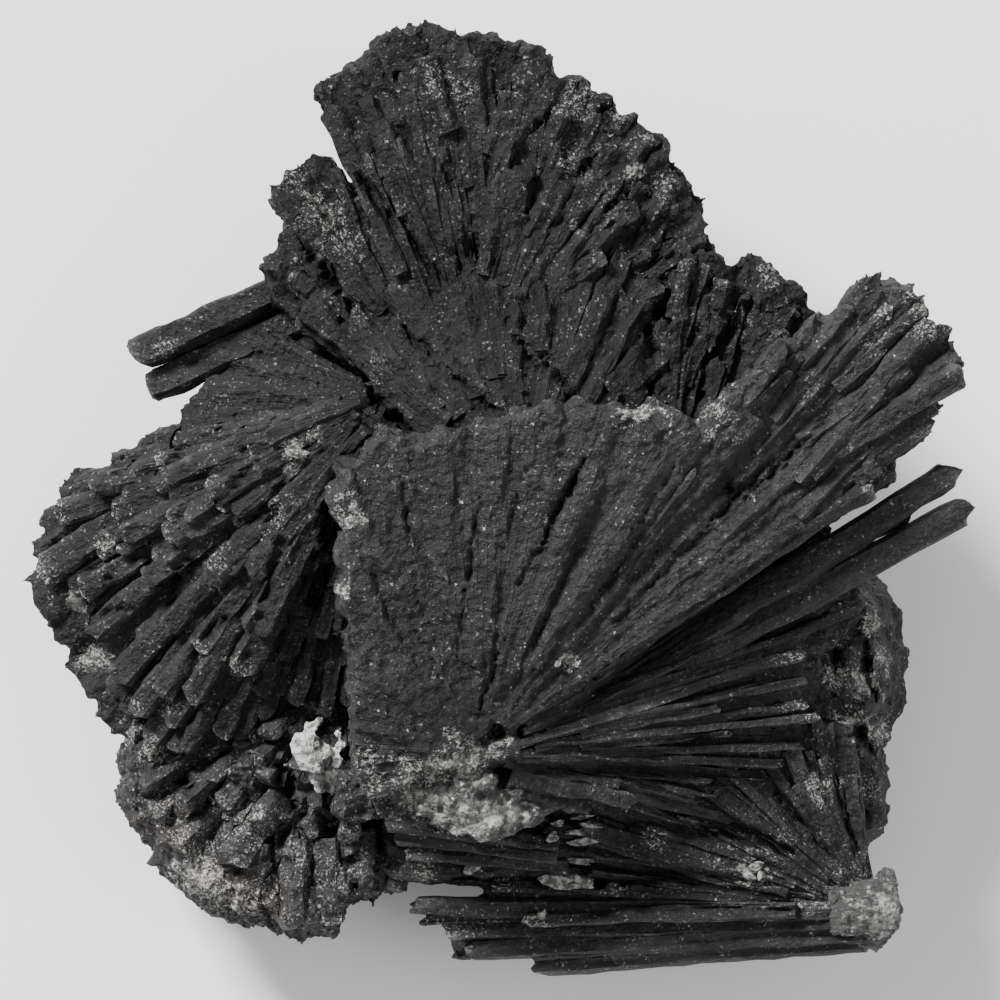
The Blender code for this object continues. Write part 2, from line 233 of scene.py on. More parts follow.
def plant(pattern, rng, root, tip, widths, depths, roll=0.0, bow=0.0, rounding=0.28):
    """A copy of a blade with its own mesh, stretched from root to tip, both in millimetres."""
    mesh = pattern.data.copy()
    spots = points_of(mesh)
    share = np.clip(spots[:, 2:3], 0.0, 1.0)
    root = Vector(root) + VIEW_SHIFT
    along = Vector(tip) + VIEW_SHIFT - root
    length = along.length
    heading = along.normalized()
    across = heading.cross(Vector((0.0, 0.0, 1.0)))
    if across.length < 0.05:
        across = heading.cross(Vector((0.0, 1.0, 0.0)))
    across.normalize()
    across.rotate(Matrix.Rotation(roll, 3, heading))
    through = across.cross(heading)
    wide = spots[:, 0:1] * (WORN_OFF + widths[0] + (widths[1] - widths[0]) * share)
    deep = spots[:, 1:2] * (WORN_OFF + depths[0] + (depths[1] - depths[0]) * share)
    if rng.random() < 0.5:
        wide, deep = -wide, -deep
    # The far end is rounded off towards its corners.
    rounded = (share > 0.99) * (np.abs(wide) * 2.0 / widths[1]) ** 2 * widths[1] * rounding
    far = spots[:, 2:3] * length - rounded + (share > 0.99) * rng.uniform(-0.3, 0.3) * wide
    curve = bow * 4.0 * share * (1.0 - share)
    placed = (np.array(root) + wide * np.array(across) + (deep + curve) * np.array(through)
              + far * np.array(heading)) * MM
    mesh.vertices.foreach_set("co", placed.astype(np.float32).ravel())
    # The three directions are left-handed, so the faces are turned to look outwards again.
    mesh.flip_normals()
    copy = bpy.data.objects.new(pattern.name + "_copy", mesh)
    scene.collection.objects.link(copy)
    return copy


def reach_and_height(rows, direction):
    """What a fan's rows say for a direction between two of them."""
    rows = sorted(rows)
    if direction <= rows[0][0]:
        return rows[0][1], rows[0][2]
    for low, high in zip(rows, rows[1:]):
        if direction <= high[0]:
            share = (direction - low[0]) / (high[0] - low[0])
            return low[1] + share * (high[1] - low[1]), low[2] + share * (high[2] - low[2])
    return rows[-1][1], rows[-1][2]


# How far a blade strays from its even place, as a share of the step, and how far it may bow.
WANDER = 0.35
BOW = 0.3


def grow_layer(rng, root, rows, count, depth, starts=(0.05, 0.12), ends=(0.98, 1.0), lift=0.0,
               unevenness=0.5, overlap=1.7, roll=6.0, width=None, rounding=0.1, stray=0.0):
    """One layer of a fan: blades side by side from its root, as far as its rows say.

    starts and ends are the shares of the reach between which each blade begins and ends, and
    stray is how far, in degrees, a blade may turn away from the root.
    """
    spread = rows[-1][0] - rows[0][0]
    step = spread / count
    # The outermost blades keep within the fan's edges by half of their own width.
    inset = min(0.5 * abs(step) * overlap, 0.12 * abs(spread)) if width is None else 0.0
    first = rows[0][0] + math.copysign(inset, spread)
    stride = (spread - 2.0 * math.copysign(inset, spread)) / max(count - 1, 1)
    grown = []
    for number in range(count):
        nudge = rng.uniform(-WANDER, WANDER) if 0 < number < count - 1 else 0.0
        direction = first + stride * (number + nudge)
        reach, height = reach_and_height(rows, direction)
        begin = rng.uniform(*starts)
        end = rng.uniform(*ends)
        angle = math.radians(direction)
        heading = Vector((math.cos(angle), math.sin(angle), 0.0))
        level = lift + rng.uniform(-unevenness, unevenness) - depth / 2
        start = root + heading * reach * begin
        stop = root + heading * reach * end
        start.z = root.z + (height - root.z) * begin + lift - depth / 2
        stop.z = root.z + (height - root.z) * end + level
        breadth = abs(math.radians(step)) * reach * overlap
        if stray:
            pace = rng.uniform(-stray, stray)
            offside = Vector((-heading.y, heading.x, 0.0)) * math.radians(pace) * reach * (end - begin)
            stop += offside * 0.5
            start -= offside * 0.5
        wide = rng.uniform(0.8, 1.25) if not stray else rng.uniform(0.65, 1.4)
        tip_width = breadth * end * wide if width is None else width * wide
        root_width = max(breadth * begin * wide, 0.5 * tip_width if width else 0.8)
        grown.append(plant(
            rng.choice(blades), rng, start, stop, (root_width, tip_width),
            (depth * 0.85, depth * rng.uniform(0.9, 1.1)), math.radians(rng.uniform(-roll, roll)),
            rng.uniform(-BOW, BOW), rounding))
    return grown


def join(first, others):
    """Joins objects into the first one."""
    bpy.ops.object.select_all(action="DESELECT")
    first.select_set(True)
    for other in others:
        other.select_set(True)
    bpy.context.view_layer.objects.active = first
    bpy.ops.object.join()
    return first


# A loose bit of skin with fewer points than this is a crumb.
CRUMB_POINTS = 150


def sweep_crumbs(piece):
    """Takes away the loose crumbs of a skin."""
    count = len(piece.data.vertices)
    edges = np.empty(len(piece.data.edges) * 2, dtype=np.int32)
    piece.data.edges.foreach_get("vertices", edges)
    edges = edges.reshape(-1, 2)
    group = np.arange(count)
    while True:
        lowest = np.minimum(group[edges[:, 0]], group[edges[:, 1]])
        fresh = group.copy()
        np.minimum.at(fresh, edges[:, 0], lowest)
        np.minimum.at(fresh, edges[:, 1], lowest)
        fresh = fresh[fresh]
        if (fresh == group).all():
            break
        group = fresh
    crumb = np.bincount(group, minlength=count)[group] < CRUMB_POINTS
    bpy.ops.object.mode_set(mode="EDIT")
    bpy.ops.mesh.select_mode(type="VERT")
    bpy.ops.mesh.select_all(action="DESELECT")
    bpy.ops.object.mode_set(mode="OBJECT")
    piece.data.vertices.foreach_set("select", crumb)
    bpy.ops.object.mode_set(mode="EDIT")
    bpy.ops.mesh.delete(type="VERT")
    bpy.ops.object.mode_set(mode="OBJECT")


def fuse(name, grown, voxel, upon=()):
    """Joins the blades of a spray into one closed piece with one skin, as crystals that have
    grown together, and lays the separate blades that show upon it."""
    piece = join(grown[0], grown[1:])
    piece.name = name
    piece.data.name = name
    skin = piece.modifiers.new("one_skin", "REMESH")
    skin.mode = "VOXEL"
    skin.voxel_size = voxel * MM
    bpy.ops.object.modifier_apply(modifier=skin.name)
    sweep_crumbs(piece)
    ease = piece.modifiers.new("ease", "SMOOTH")
    ease.factor = 0.5
    ease.iterations = 2
    bpy.ops.object.modifier_apply(modifier=ease.name)
    for layer in ("hollow", "pale"):
        if layer not in piece.data.attributes:
            piece.data.attributes.new(layer, "FLOAT", "POINT")
    if upon:
        join(piece, upon)
    return piece


def mark(piece, name, values):
    """Keeps the stronger of what a mark already says and the new values."""
    held = np.empty(len(values), dtype=np.float32)
    piece.data.attributes[name].data.foreach_get("value", held)
    piece.data.attributes[name].data.foreach_set(
        "value", np.maximum(held, values).astype(np.float32))


def normals_of(mesh):
    rows = np.empty(len(mesh.vertices) * 3, dtype=np.float32)
    mesh.vertex_normals.foreach_get("vector", rows)
    return rows.reshape(-1, 3)


def score(piece, root, spacing, depth, seed):
    """Grooves a fan along its blades with narrow lines that all run from its root, and marks painted shade
    in the grooves.
    """
    spots = points_of(piece.data) / MM
    facing = normals_of(piece.data)
    offset = Vector((seed * 7.1, seed * 3.3, seed * 1.7))
    flat = spots - np.array(root + VIEW_SHIFT)
    radius = np.hypot(flat[:, 0], flat[:, 1])
    angle = np.arctan2(flat[:, 1], flat[:, 0])
    fade = np.clip((radius - 2.0) / 5.0, 0.0, 1.0)
    grooved = np.empty(len(spots))
    swollen = np.empty(len(spots))
    for number in range(len(spots)):
        across = angle[number] * 30.0 / spacing
        along = radius[number] / 16.0
        level = spots[number, 2] * 0.12
        wave = noise.noise(Vector((across, along, level)) + offset)
        fine = noise.noise(Vector((across * 2.7, along * 2.2, level)) - offset)
        grooved[number] = max(0.0, 1.0 - abs(wave) / 0.10) + 0.45 * max(0.0, 1.0 - abs(fine) / 0.16)
        swollen[number] = wave
    push = (0.6 * swollen - grooved) * depth * fade
    spots += facing * push[:, None]
    piece.data.vertices.foreach_set("co", (spots * MM).astype(np.float32).ravel())
    mark(piece, "hollow", np.clip(grooved * 0.8 - 0.15, 0.0, 0.7) * fade)
    piece.data.update()


def along_line(spots, x1, y1, x2, y2):
    """How far each point is from a line on the plan, both ways, and how far along it is."""
    start = np.array((x1 + VIEW_SHIFT.x, y1 + VIEW_SHIFT.y))
    run = np.array((x2 - x1, y2 - y1))
    length = np.hypot(*run)
    flat = spots[:, :2] - start
    share = np.clip((flat @ run) / length ** 2, 0.0, 1.0)
    gap = flat - share[:, None] * run
    return np.hypot(gap[:, 0], gap[:, 1]), share


# How far the blade beside a gap steps down, in millimetres.
STEP_DOWN = 0.45


def open_gaps(piece, gaps, floor_level):
    """Sinks the narrow dark gaps that show between blades into the upper side of a piece, marks
    painted shade in them, and lowers the blade on one side of each."""
    spots = points_of(piece.data) / MM
    facing = normals_of(piece.data)
    hollow = np.zeros(len(spots), dtype=np.float32)
    rough = np.array([noise.noise(Vector(spot) * 0.8) for spot in spots])
    fine = np.array([noise.noise(Vector(spot) * 2.0) for spot in spots])
    upper = np.clip(facing[:, 2] * 2.0, 0.0, 1.0) * (spots[:, 2] > floor_level)
    for number, (x1, y1, x2, y2, width, depth) in enumerate(gaps):
        length = math.hypot(x2 - x1, y2 - y1)
        bent = spots.copy()
        bent[:, 0] += 0.5 * rough * (y2 - y1) / length
        bent[:, 1] -= 0.5 * rough * (x2 - x1) / length
        distance, share = along_line(bent, x1, y1, x2, y2)
        taper = np.clip(4.0 * share * (1.0 - share), 0.0, 1.0) ** 0.8
        half = 0.30 * width * (1.0 + 1.1 * rough + 0.9 * fine) * taper + 0.03
        inside = np.clip(1.3 * (1.0 - distance / np.maximum(half, 0.03)), 0.0, 1.0)
        hollow = np.maximum(hollow, inside * upper * 0.9)
        side = ((bent[:, 0] - x1 - VIEW_SHIFT.x) * (y2 - y1)
                - (bent[:, 1] - y1 - VIEW_SHIFT.y) * (x2 - x1))
        lower = (side * (-1) ** number > 0) * np.exp(-distance / 1.4) * taper * STEP_DOWN * min(1.0, width)
        spots[:, 2] -= (depth * inside + lower) * upper
    piece.data.vertices.foreach_set("co", (spots * MM).astype(np.float32).ravel())
    mark(piece, "hollow", hollow)
    piece.data.update()


def dust(piece, patches):
    """Marks where pale mica dust clings, in ragged patches on what faces up."""
    spots = points_of(piece.data) / MM
    level = np.clip(0.25 + 2.2 * normals_of(piece.data)[:, 2], 0.0, 1.0)
    pale = np.zeros(len(spots), dtype=np.float32)
    rough = np.array([noise.noise(Vector(spot) * 0.5) + 0.8 * noise.noise(Vector(spot) * 1.5)
                      for spot in spots])
    for x, y, radius, strength in patches:
        distance = np.hypot(spots[:, 0] - x - VIEW_SHIFT.x, spots[:, 1] - y - VIEW_SHIFT.y)
        reach = np.clip(1.25 - distance / radius + 0.9 * rough, 0.0, 1.0)
        pale = np.maximum(pale, reach * strength * level)
    mark(piece, "pale", pale)


KNOB_SIZE = 2.3


def weather(piece, lumps, lump_size, grains, grain_size=0.5, knobs=0.0, crisp=30):
    """Roughens the skin of a piece with lumps of three sizes and keeps it in the model's box."""
    for label, size, strength in (("knobs", KNOB_SIZE, knobs), ("lumps", lump_size, lumps),
                                  ("grains", grain_size, grains)):
        if strength == 0.0:
            continue
        texture = bpy.data.textures.new(piece.name + "_" + label, "CLOUDS")
        texture.noise_scale = size * MM
        texture.noise_type = "HARD_NOISE" if label == "grains" else "SOFT_NOISE"
        texture.noise_depth = 1
        push = piece.modifiers.new(label, "DISPLACE")
        push.texture = texture
        push.texture_coords = "LOCAL"
        push.strength = strength * MM
        push.mid_level = 0.5
    ease = piece.modifiers.new("ease", "SMOOTH")
    ease.factor = 0.45
    ease.iterations = 2
    bpy.ops.object.select_all(action="DESELECT")
    piece.select_set(True)
    bpy.context.view_layer.objects.active = piece
    for push in list(piece.modifiers):
        bpy.ops.object.modifier_apply(modifier=push.name)
    low, high = (np.array(corner, dtype=np.float32) for corner in CAD_BOX)
    spots = np.clip(points_of(piece.data), low, high)
    piece.data.vertices.foreach_set("co", spots.ravel())
    piece.data.update()
    bpy.ops.object.shade_smooth_by_angle(angle=math.radians(crisp))


class Socket:
    """A shader output that can be used in sums, products and comparisons."""

    def __init__(self, board, output):
        self.board = board
        self.output = output

    def math(self, operation, other=None):
        values = [self] if other is None else [self, other]
        return self.board.node("Math", {"operation": operation}, dict(enumerate(values)))

    def __add__(self, other):
        return self.math("ADD", other)

    __radd__ = __add__

    def __mul__(self, other):
        return self.math("MULTIPLY", other)

    __rmul__ = __mul__

    def __sub__(self, other):
        return self.math("SUBTRACT", other)

    def __rsub__(self, other):
        return self.board.node("Math", {"operation": "SUBTRACT"}, {0: other, 1: self})

    def __gt__(self, other):
        return self.math("GREATER_THAN", other)

    def __lt__(self, other):
        return self.math("LESS_THAN", other)


class Board:
    """The node tree of one material, with the Principled shader it ends in."""

    def __init__(self, name):
        self.material = bpy.data.materials.new(name)
        self.material.use_nodes = True
        self.tree = self.material.node_tree
        self.shader = self.tree.nodes["Principled BSDF"]

    def node(self, kind, settings=None, inputs=None, output=0):
        made = self.tree.nodes.new("ShaderNode" + kind)
        for key, value in (settings or {}).items():
            setattr(made, key, value)
        for key, value in (inputs or {}).items():
            self.feed(made.inputs[key], value)
        return Socket(self, made.outputs[output])

    def feed(self, socket, value):
        if isinstance(value, Socket):
            self.tree.links.new(value.output, socket)
        elif isinstance(value, (tuple, list)):
            socket.default_value = (*value, 1.0) if len(value) == 3 and socket.type == "RGBA" else value
        else:
            socket.default_value = value

    def place(self):
        """Object coordinates in millimetres."""
        spot = self.node("TexCoord", output=3)
        return self.node("VectorMath", {"operation": "SCALE"}, {0: spot, 3: 1000.0})

    def noise(self, vector, scale, detail=2.0, rough=0.5):
        return self.node("TexNoise", {}, {"Vector": vector, "Scale": scale, "Detail": detail,
                                          "Roughness": rough})

    def ramp(self, value, low, high):
        """0 below low, 1 above high, smooth between them."""
        return self.node("MapRange", {"interpolation_type": "SMOOTHSTEP"},
                         {"Value": value, "From Min": low, "From Max": high})

    def mix(self, share, first, second):
        return self.node("Mix", {"data_type": "RGBA"}, {0: share, 6: first, 7: second}, output=2)


def kyanite_material(name, root, facing, dust_and_painted_light=0.5, flecks_and_glints=0.5, streaks=1.0, painted_shade=0.0):
    """Charcoal kyanite: dull, grooved along the blades, dusted grey and brown, with bright flecks of
    mica that carry painted glints, painted shade in its creases and gaps, and ridges paler from wear
    and painted highlight. Streaks run out from root, and facing is the fan's middle direction."""
    board = Board(name)
    spot = board.place()
    turned = board.node("Mapping", {"vector_type": "TEXTURE"}, {
        "Vector": spot, "Location": tuple(root + VIEW_SHIFT),
        "Rotation": (0.0, 0.0, math.radians(facing))})
    part = board.node("SeparateXYZ", {}, {0: turned})
    sideways = board.node("SeparateXYZ", {}, {0: turned}, output=1)
    upward = board.node("SeparateXYZ", {}, {0: turned}, output=2)
    angle = sideways.math("ARCTAN2", part)
    radius = board.node("VectorMath", {"operation": "LENGTH"}, {0: turned}, output=1)
    fan = board.node("CombineXYZ", {}, {0: angle * 34.0, 1: radius * 0.13, 2: upward * 0.35})
    streak = board.noise(fan, 1.0, detail=4.0, rough=0.65)
    patch = board.noise(spot, 0.13, detail=2.0)
    clump = board.noise(spot, 0.45, detail=2.0)
    grit = board.noise(spot, 1.7, detail=3.0, rough=0.68)
    hollow = board.node("Attribute", {"attribute_name": "hollow"}, output=2)
    pale = board.node("Attribute", {"attribute_name": "pale"}, output=2)
    raised = board.node("NewGeometry", output=7)
    worn_and_lit_ridge = board.ramp(raised, 0.51, 0.62)
    painted_crease_shade = board.ramp(raised, 0.49, 0.40)

    colour = board.mix(board.ramp(patch, 0.35, 0.65), (0.0115, 0.0112, 0.0118), (0.0185, 0.018, 0.019))
    # Brown dust and pale grit: real dust, made stronger as painted light where a fan lies in shade.
    colour = board.mix(board.ramp(patch, 0.56, 0.70) * 0.4 * dust_and_painted_light, colour, (0.030, 0.022, 0.018))
    colour = board.mix(board.ramp(streak, 0.50, 0.78) * 0.45 * streaks, colour, (0.036, 0.035, 0.036))
    colour = board.mix(board.ramp(streak, 0.46, 0.30) * 0.5 * streaks, colour, (0.007, 0.007, 0.0075))
    colour = board.mix(board.ramp(grit, 0.50, 0.72) * (0.25 + 0.45 * dust_and_painted_light), colour, (0.052, 0.0505, 0.050))
    colour = board.mix(board.ramp(grit, 0.46, 0.32) * 0.6, colour, (0.006, 0.006, 0.0065))
    # Ridges are paler: partly worn edges, partly painted highlight.
    colour = board.mix(worn_and_lit_ridge * board.ramp(clump, 0.38, 0.66) * 0.55, colour, (0.095, 0.093, 0.090))
    # Painted shade in the creases and hollows of the skin.
    colour = board.mix(painted_crease_shade * 0.6, colour, (0.005, 0.005, 0.0055))
    # Painted shade in the gaps and grooves between blades.
    colour = board.mix(hollow * 0.85, colour, (0.0045, 0.0045, 0.005))

    # Bright specks and flecks: pale mica grains, with painted glints on them.
    sparkle = board.noise(spot, 3.1, detail=1.0)
    speck_and_glint = board.ramp(sparkle, 0.62, 0.74) * board.ramp(clump, 0.34, 0.62) * (1.0 - hollow)
    colour = board.mix(speck_and_glint * (0.25 + flecks_and_glints + worn_and_lit_ridge * 0.5), colour, (0.17, 0.168, 0.163))
    jitter = board.node("TexNoise", {}, {"Vector": spot, "Scale": 4.0}, output=1)
    shaken = board.node("VectorMath", {"operation": "MULTIPLY_ADD"},
                        {0: jitter, 1: (0.6, 0.6, 0.6), 2: spot})
    near = board.node("TexVoronoi", {}, {"Vector": shaken, "Scale": 1.45})
    chance = board.node("TexVoronoi", {}, {"Vector": shaken, "Scale": 1.45}, output=1)
    luck = board.node("SeparateColor", {}, {0: chance})
    shine = board.node("SeparateColor", {}, {0: chance}, output=1)
    size = board.ramp(clump, 0.30, 0.70) * 0.24 + 0.07
    fleck_and_glint = board.ramp(near, size, size * 0.4) * (luck > (1.0 - 0.6 * flecks_and_glints)) * (1.0 - hollow)
    colour = board.mix(fleck_and_glint * shine, colour, (0.44, 0.435, 0.42))
    flour = board.noise(spot, 3.6, detail=2.0, rough=0.8)
    dusting = board.ramp(flour + pale * 0.30, 0.60, 0.72) * board.ramp(pale, 0.05, 0.30)
    powder = board.mix(board.ramp(grit, 0.40, 0.62), (0.085, 0.083, 0.078), (0.42, 0.41, 0.385))
    colour = board.mix(dusting, colour, powder)
    # Painted shade: this copy of the kyanite is darkened as a whole where its fan is lit too brightly.
    colour = board.mix(painted_shade, colour, (0.0, 0.0, 0.0))
    board.feed(board.shader.inputs["Base Color"], colour)

    board.feed(board.shader.inputs["Roughness"],
               0.58 + board.ramp(grit, 0.3, 0.7) * 0.2 - fleck_and_glint * 0.25 + hollow * 0.2)
    board.shader.inputs["Specular IOR Level"].default_value = 0.32 * (1.0 - painted_shade)
    relief = streak * (0.6 * streaks) + grit * 0.55 + board.noise(spot, 1.0, detail=1.0) * 0.5
    bump = board.node("Bump", {}, {"Strength": 1.0, "Distance": 0.0010, "Height": relief})
    board.feed(board.shader.inputs["Normal"], bump)
    return board.material


def finish_kyanite(piece, material):
    piece.data.materials.clear()
    piece.data.materials.append(material)
    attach(piece, "root")
    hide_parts("kyanite_cluster")


blades = [model_blade(seed) for seed in range(7)]

front_kyanite = kyanite_material("front_kyanite", FRONT_ROOT, 80.0, dust_and_painted_light=0.4, flecks_and_glints=0.42)
rng = random.Random(3)
sheet = grow_layer(rng, FRONT_ROOT, FRONT_SHEET[:12], 32, 5.0, unevenness=0.30, roll=3.0)
sheet += grow_layer(rng, FRONT_ROOT, FRONT_SHEET[11:], 14, 5.0, unevenness=0.4, roll=4.0,
                    ends=(0.93, 1.0))
sheet += grow_layer(rng, FRONT_ROOT, FRONT_SHEET, 22, 3.0, starts=(0.1, 0.4),
                    ends=(0.5, 0.97), lift=0.35, unevenness=0.3, overlap=1.0, roll=4.0)
bundle = grow_layer(rng, FRONT_ROOT, FRONT_SHEET[11:], 13, 3.4, starts=(0.25, 0.45),
                    ends=(0.70, 1.0), unevenness=0.8, overlap=1.3, roll=14.0, rounding=0.3,
                    stray=2.0)
bundle += grow_layer(rng, FRONT_ROOT, FRONT_SHEET[12:], 12, 2.4, starts=(0.62, 0.84),
                     ends=(0.86, 1.0), lift=0.9, unevenness=0.8, overlap=1.2, roll=35.0, rounding=0.3,
                     stray=9.0)
sheet += grow_layer(rng, FRONT_ROOT, FRONT_FOOT, 7, 5.0, unevenness=0.5, roll=8.0)
sheet.append(plant(blades[2], rng, (-4.6, -26.2, 34.4), (2.2, -24.4, 33.6), (3.0, 2.4), (4.0, 3.6)))
for rows, count in ((FRONT_SHEET[:12], 22), (FRONT_SHEET[11:], 11)):
    sheet += grow_layer(rng, FRONT_ROOT, rows, count, 5.0, starts=(0.1, 0.4),
                        ends=(0.88, 0.98), lift=-3.6, unevenness=0.8, overlap=1.4)
front_sheet = fuse("front_fan_sheet", sheet, 0.34, bundle)
score(front_sheet, FRONT_ROOT, 3.0, 0.28, 1)
open_gaps(front_sheet, FRONT_GAPS, 30.0)
dust(front_sheet, FRONT_DUST)
weather(front_sheet, 0.5, 0.9, 0.36, knobs=0.5)
finish_kyanite(front_sheet, front_kyanite)

lower = grow_layer(rng, FRONT_ROOT, FRONT_LOWER, 26, 4.0, starts=(0.04, 0.1),
                   ends=(0.86, 1.0), lift=-1.6, unevenness=0.8, overlap=1.3)
thin = grow_layer(rng, FRONT_ROOT, FRONT_LOWER, 24, 1.5, starts=(0.05, 0.3),
                  ends=(0.6, 1.0), lift=0.2, unevenness=0.8, overlap=0.7, roll=14.0, rounding=0.3,
                  stray=2.0)
lower += grow_layer(rng, FRONT_ROOT, FRONT_LOWER, 14, 4.0, starts=(0.1, 0.4),
                    ends=(0.9, 1.0), lift=-3.5, unevenness=0.9)
for root, tip, widths, depths in FRONT_LONG:
    thin.append(plant(blades[0], rng, root, tip, widths, depths))
front_lower = fuse("front_fan_lower_blades", lower, 0.36, thin)
score(front_lower, FRONT_ROOT, 1.5, 0.34, 2)
open_gaps(front_lower, FRONT_SHADE, 12.0)
weather(front_lower, 0.5, 0.9, 0.4)
finish_kyanite(front_lower, front_kyanite)


# Upper fan
# The spray behind the front one: broad rough slabs on its left with narrow dark gaps between
# them, and a knobbly surface of short broken blades on its right.
UPPER_ROOT = Vector((2.5, 0.0, 33.0))
# The slabs at the right end run from a root of their own, hidden under the front fan.
EAST_ROOT = Vector((15.0, -6.0, 33.0))
# The slabs of the fan from left to right: root, rows, number of blades and lift.
UPPER_SLABS = [
    (UPPER_ROOT, [(141, 32.0, 27.0), (138.6, 34.0, 27.6), (136.9, 35.6, 28.0), (134.2, 36.6, 28.0),
                  (131.8, 36.4, 28.2)], 3, 0.5),
    (UPPER_ROOT, [(131, 35.8, 28.2), (128.6, 37.8, 28.4), (126.9, 41.6, 28.5), (122, 40.0, 28.5),
                  (119.9, 39.8, 28.5)], 4, -0.6),
    (UPPER_ROOT, [(117, 46.0, 29.5), (111.3, 46.8, 30.0), (107.6, 47.8, 30.2), (105.0, 48.8, 30.4),
                  (102.6, 49.0, 30.5)], 5, 0.9),
    (UPPER_ROOT, [(104.4, 48.6, 30.5), (101.7, 48.8, 30.5), (98.6, 47.0, 30.3), (96.8, 47.3, 30.2),
                  (90.5, 45.8, 30.0), (88, 44.2, 30.0), (86, 43.0, 30.0)], 6, 0.1),
    (UPPER_ROOT, [(65.6, 37.0, 29.0), (59, 33.0, 28.5), (53, 31.0, 28.5)], 4, -0.3),
    (EAST_ROOT, [(84, 30.6, 30.0), (80.4, 31.0, 30.0), (77.4, 31.0, 30.0), (74.4, 29.4, 30.0)],
     4, 0.9),
    (EAST_ROOT, [(72.4, 30.0, 30.0), (70.9, 31.6, 30.0), (62.6, 31.6, 29.6), (56.7, 29.2, 29.2),
                   (54.5, 26.0, 29.0), (48, 22.0, 28.6)], 6, 0.5),
]
UPPER_FILL = [
    (141, 29.0, 24.0), (130, 34.6, 24.0), (124, 36.0, 24.0), (120, 33.0, 24.0), (116.6, 33.4, 24.0),
    (112, 43.5, 25.0), (104, 47.0, 26.0), (92, 44.0, 26.0), (78, 38.6, 25.5), (66, 34.6, 25.0),
    (53, 30.0, 24.5), (40, 32.6, 25.0), (28, 29.4, 24.0), (17, 28.0, 22.0),
]
# Shorter blades that lead up to the front fan, so that the two sprays meet without a step.
UPPER_RAMP = [(158, 15.0, 31.5), (140, 22.0, 31.2), (110, 26.0, 31.6), (80, 25.0, 31.4),
              (50, 23.0, 31.2), (30, 18.0, 31.0)]
UPPER_GAPS = [
    (-14.0, 32.0, -10.0, 26.4, 1.1, 3.0), (-9.6, 27.6, -5.8, 21.0, 0.9, 2.5),
    (-6.0, 33.6, -3.8, 29.2, 0.7, 2.0), (-3.8, 26.0, -1.0, 22.2, 0.9, 2.2),
    (-20.0, 26.4, -14.0, 18.0, 1.0, 2.5), (-10.0, 17.2, -5.6, 13.2, 0.8, 2.0),
    (-5.6, 13.2, -0.4, 8.4, 0.7, 1.6), (3.8, 14.8, 7.6, 9.6, 1.0, 2.2),
    (-0.2, 40.4, 1.2, 39.4, 1.6, 3.0), (2.0, 36.8, 5.4, 38.6, 1.3, 2.6),
    (2.1, 34.4, 2.3, 27.6, 1.5, 3.0), (14.8, 17.6, 14.9, 9.6, 1.7, 3.6),
    (-14.4, 11.6, -8.6, 6.2, 1.8, 4.0), (-10.3, 42.6, -9.6, 41.8, 1.2, 2.4),
    (-16.0, 14.0, -11.0, 9.0, 1.0, 2.4), (0.4, 18.0, 4.0, 12.4, 0.7, 1.4),
    (20.6, 18.4, 17.0, 12.4, 0.8, 1.6), (25.6, 20.6, 20.0, 13.0, 0.9, 1.8),
    (-1.4, 36.6, -0.6, 31.0, 0.6, 1.2), (-8.4, 38.4, -6.6, 34.4, 0.6, 1.0),
]
UPPER_DUST = [
    (-17.5, 28.4, 2.6, 0.5), (-15.2, 25.6, 2.4, 0.4), (-6.4, 42.0, 2.4, 0.42), (-3.8, 40.6, 2.2, 0.42),
    (8.0, 40.0, 2.4, 0.4), (12.0, 38.2, 2.4, 0.42), (7.4, 34.0, 3.0, 0.25), (13.6, 33.0, 0.9, 0.9),
    (27.2, 22.8, 2.0, 0.45), (7.6, 27.2, 0.7, 0.9), (-11.8, 7.0, 0.8, 0.8), (-21.0, 32.4, 2.0, 0.4),
    (16.8, 31.0, 2.4, 0.35), (24.0, 18.0, 2.2, 0.25), (-12.0, 12.6, 2.4, 0.25),
]
# The upper fan, the spray and the left fan get darkened copies of the kyanite: painted shade.
upper_kyanite = kyanite_material("upper_kyanite", UPPER_ROOT, 80.0, dust_and_painted_light=0.4, flecks_and_glints=0.75, streaks=0.7,
                                 painted_shade=0.4)
rng = random.Random(5)
upper = grow_layer(rng, UPPER_ROOT + Vector((0.0, 0.0, 8.2)), UPPER_RAMP, 16, 5.0,
                   starts=(0.1, 0.2), ends=(0.85, 1.05), unevenness=0.4)
slabs = grow_layer(rng, UPPER_ROOT + Vector((0.0, 0.0, 8.2)), UPPER_RAMP, 15, 2.4,
                   starts=(0.3, 0.6), ends=(0.8, 1.15), lift=0.4, unevenness=0.6, width=2.4, roll=20.0,
                   rounding=0.3, stray=8.0)
for root, rows, count, lift in UPPER_SLABS:
    upper += grow_layer(rng, root, rows, count, 6.0, lift=lift, unevenness=0.3,
                        overlap=1.5, roll=4.0)
    slabs += grow_layer(rng, root, rows, count, 2.6, starts=(0.1, 0.5),
                        ends=(0.55, 0.98), lift=lift + 0.4, unevenness=0.6, overlap=1.1, roll=12.0,
                        stray=3.0)
    slabs += grow_layer(rng, root, rows, count + 2, 2.0, starts=(0.4, 0.8),
                        ends=(0.85, 0.99), lift=lift + 0.8, unevenness=0.8, width=2.0, roll=25.0,
                        rounding=0.3, stray=8.0)
upper += grow_layer(rng, UPPER_ROOT, UPPER_FILL, 26, 7.0, starts=(0.3, 0.5),
                    ends=(0.93, 1.0), unevenness=0.8, overlap=1.3)
upper_fan = fuse("upper_fan", upper, 0.38, slabs)
score(upper_fan, UPPER_ROOT, 2.8, 0.26, 3)
open_gaps(upper_fan, UPPER_GAPS, 22.0)
dust(upper_fan, UPPER_DUST)
weather(upper_fan, 0.8, 0.9, 0.5, knobs=1.0)
finish_kyanite(upper_fan, upper_kyanite)


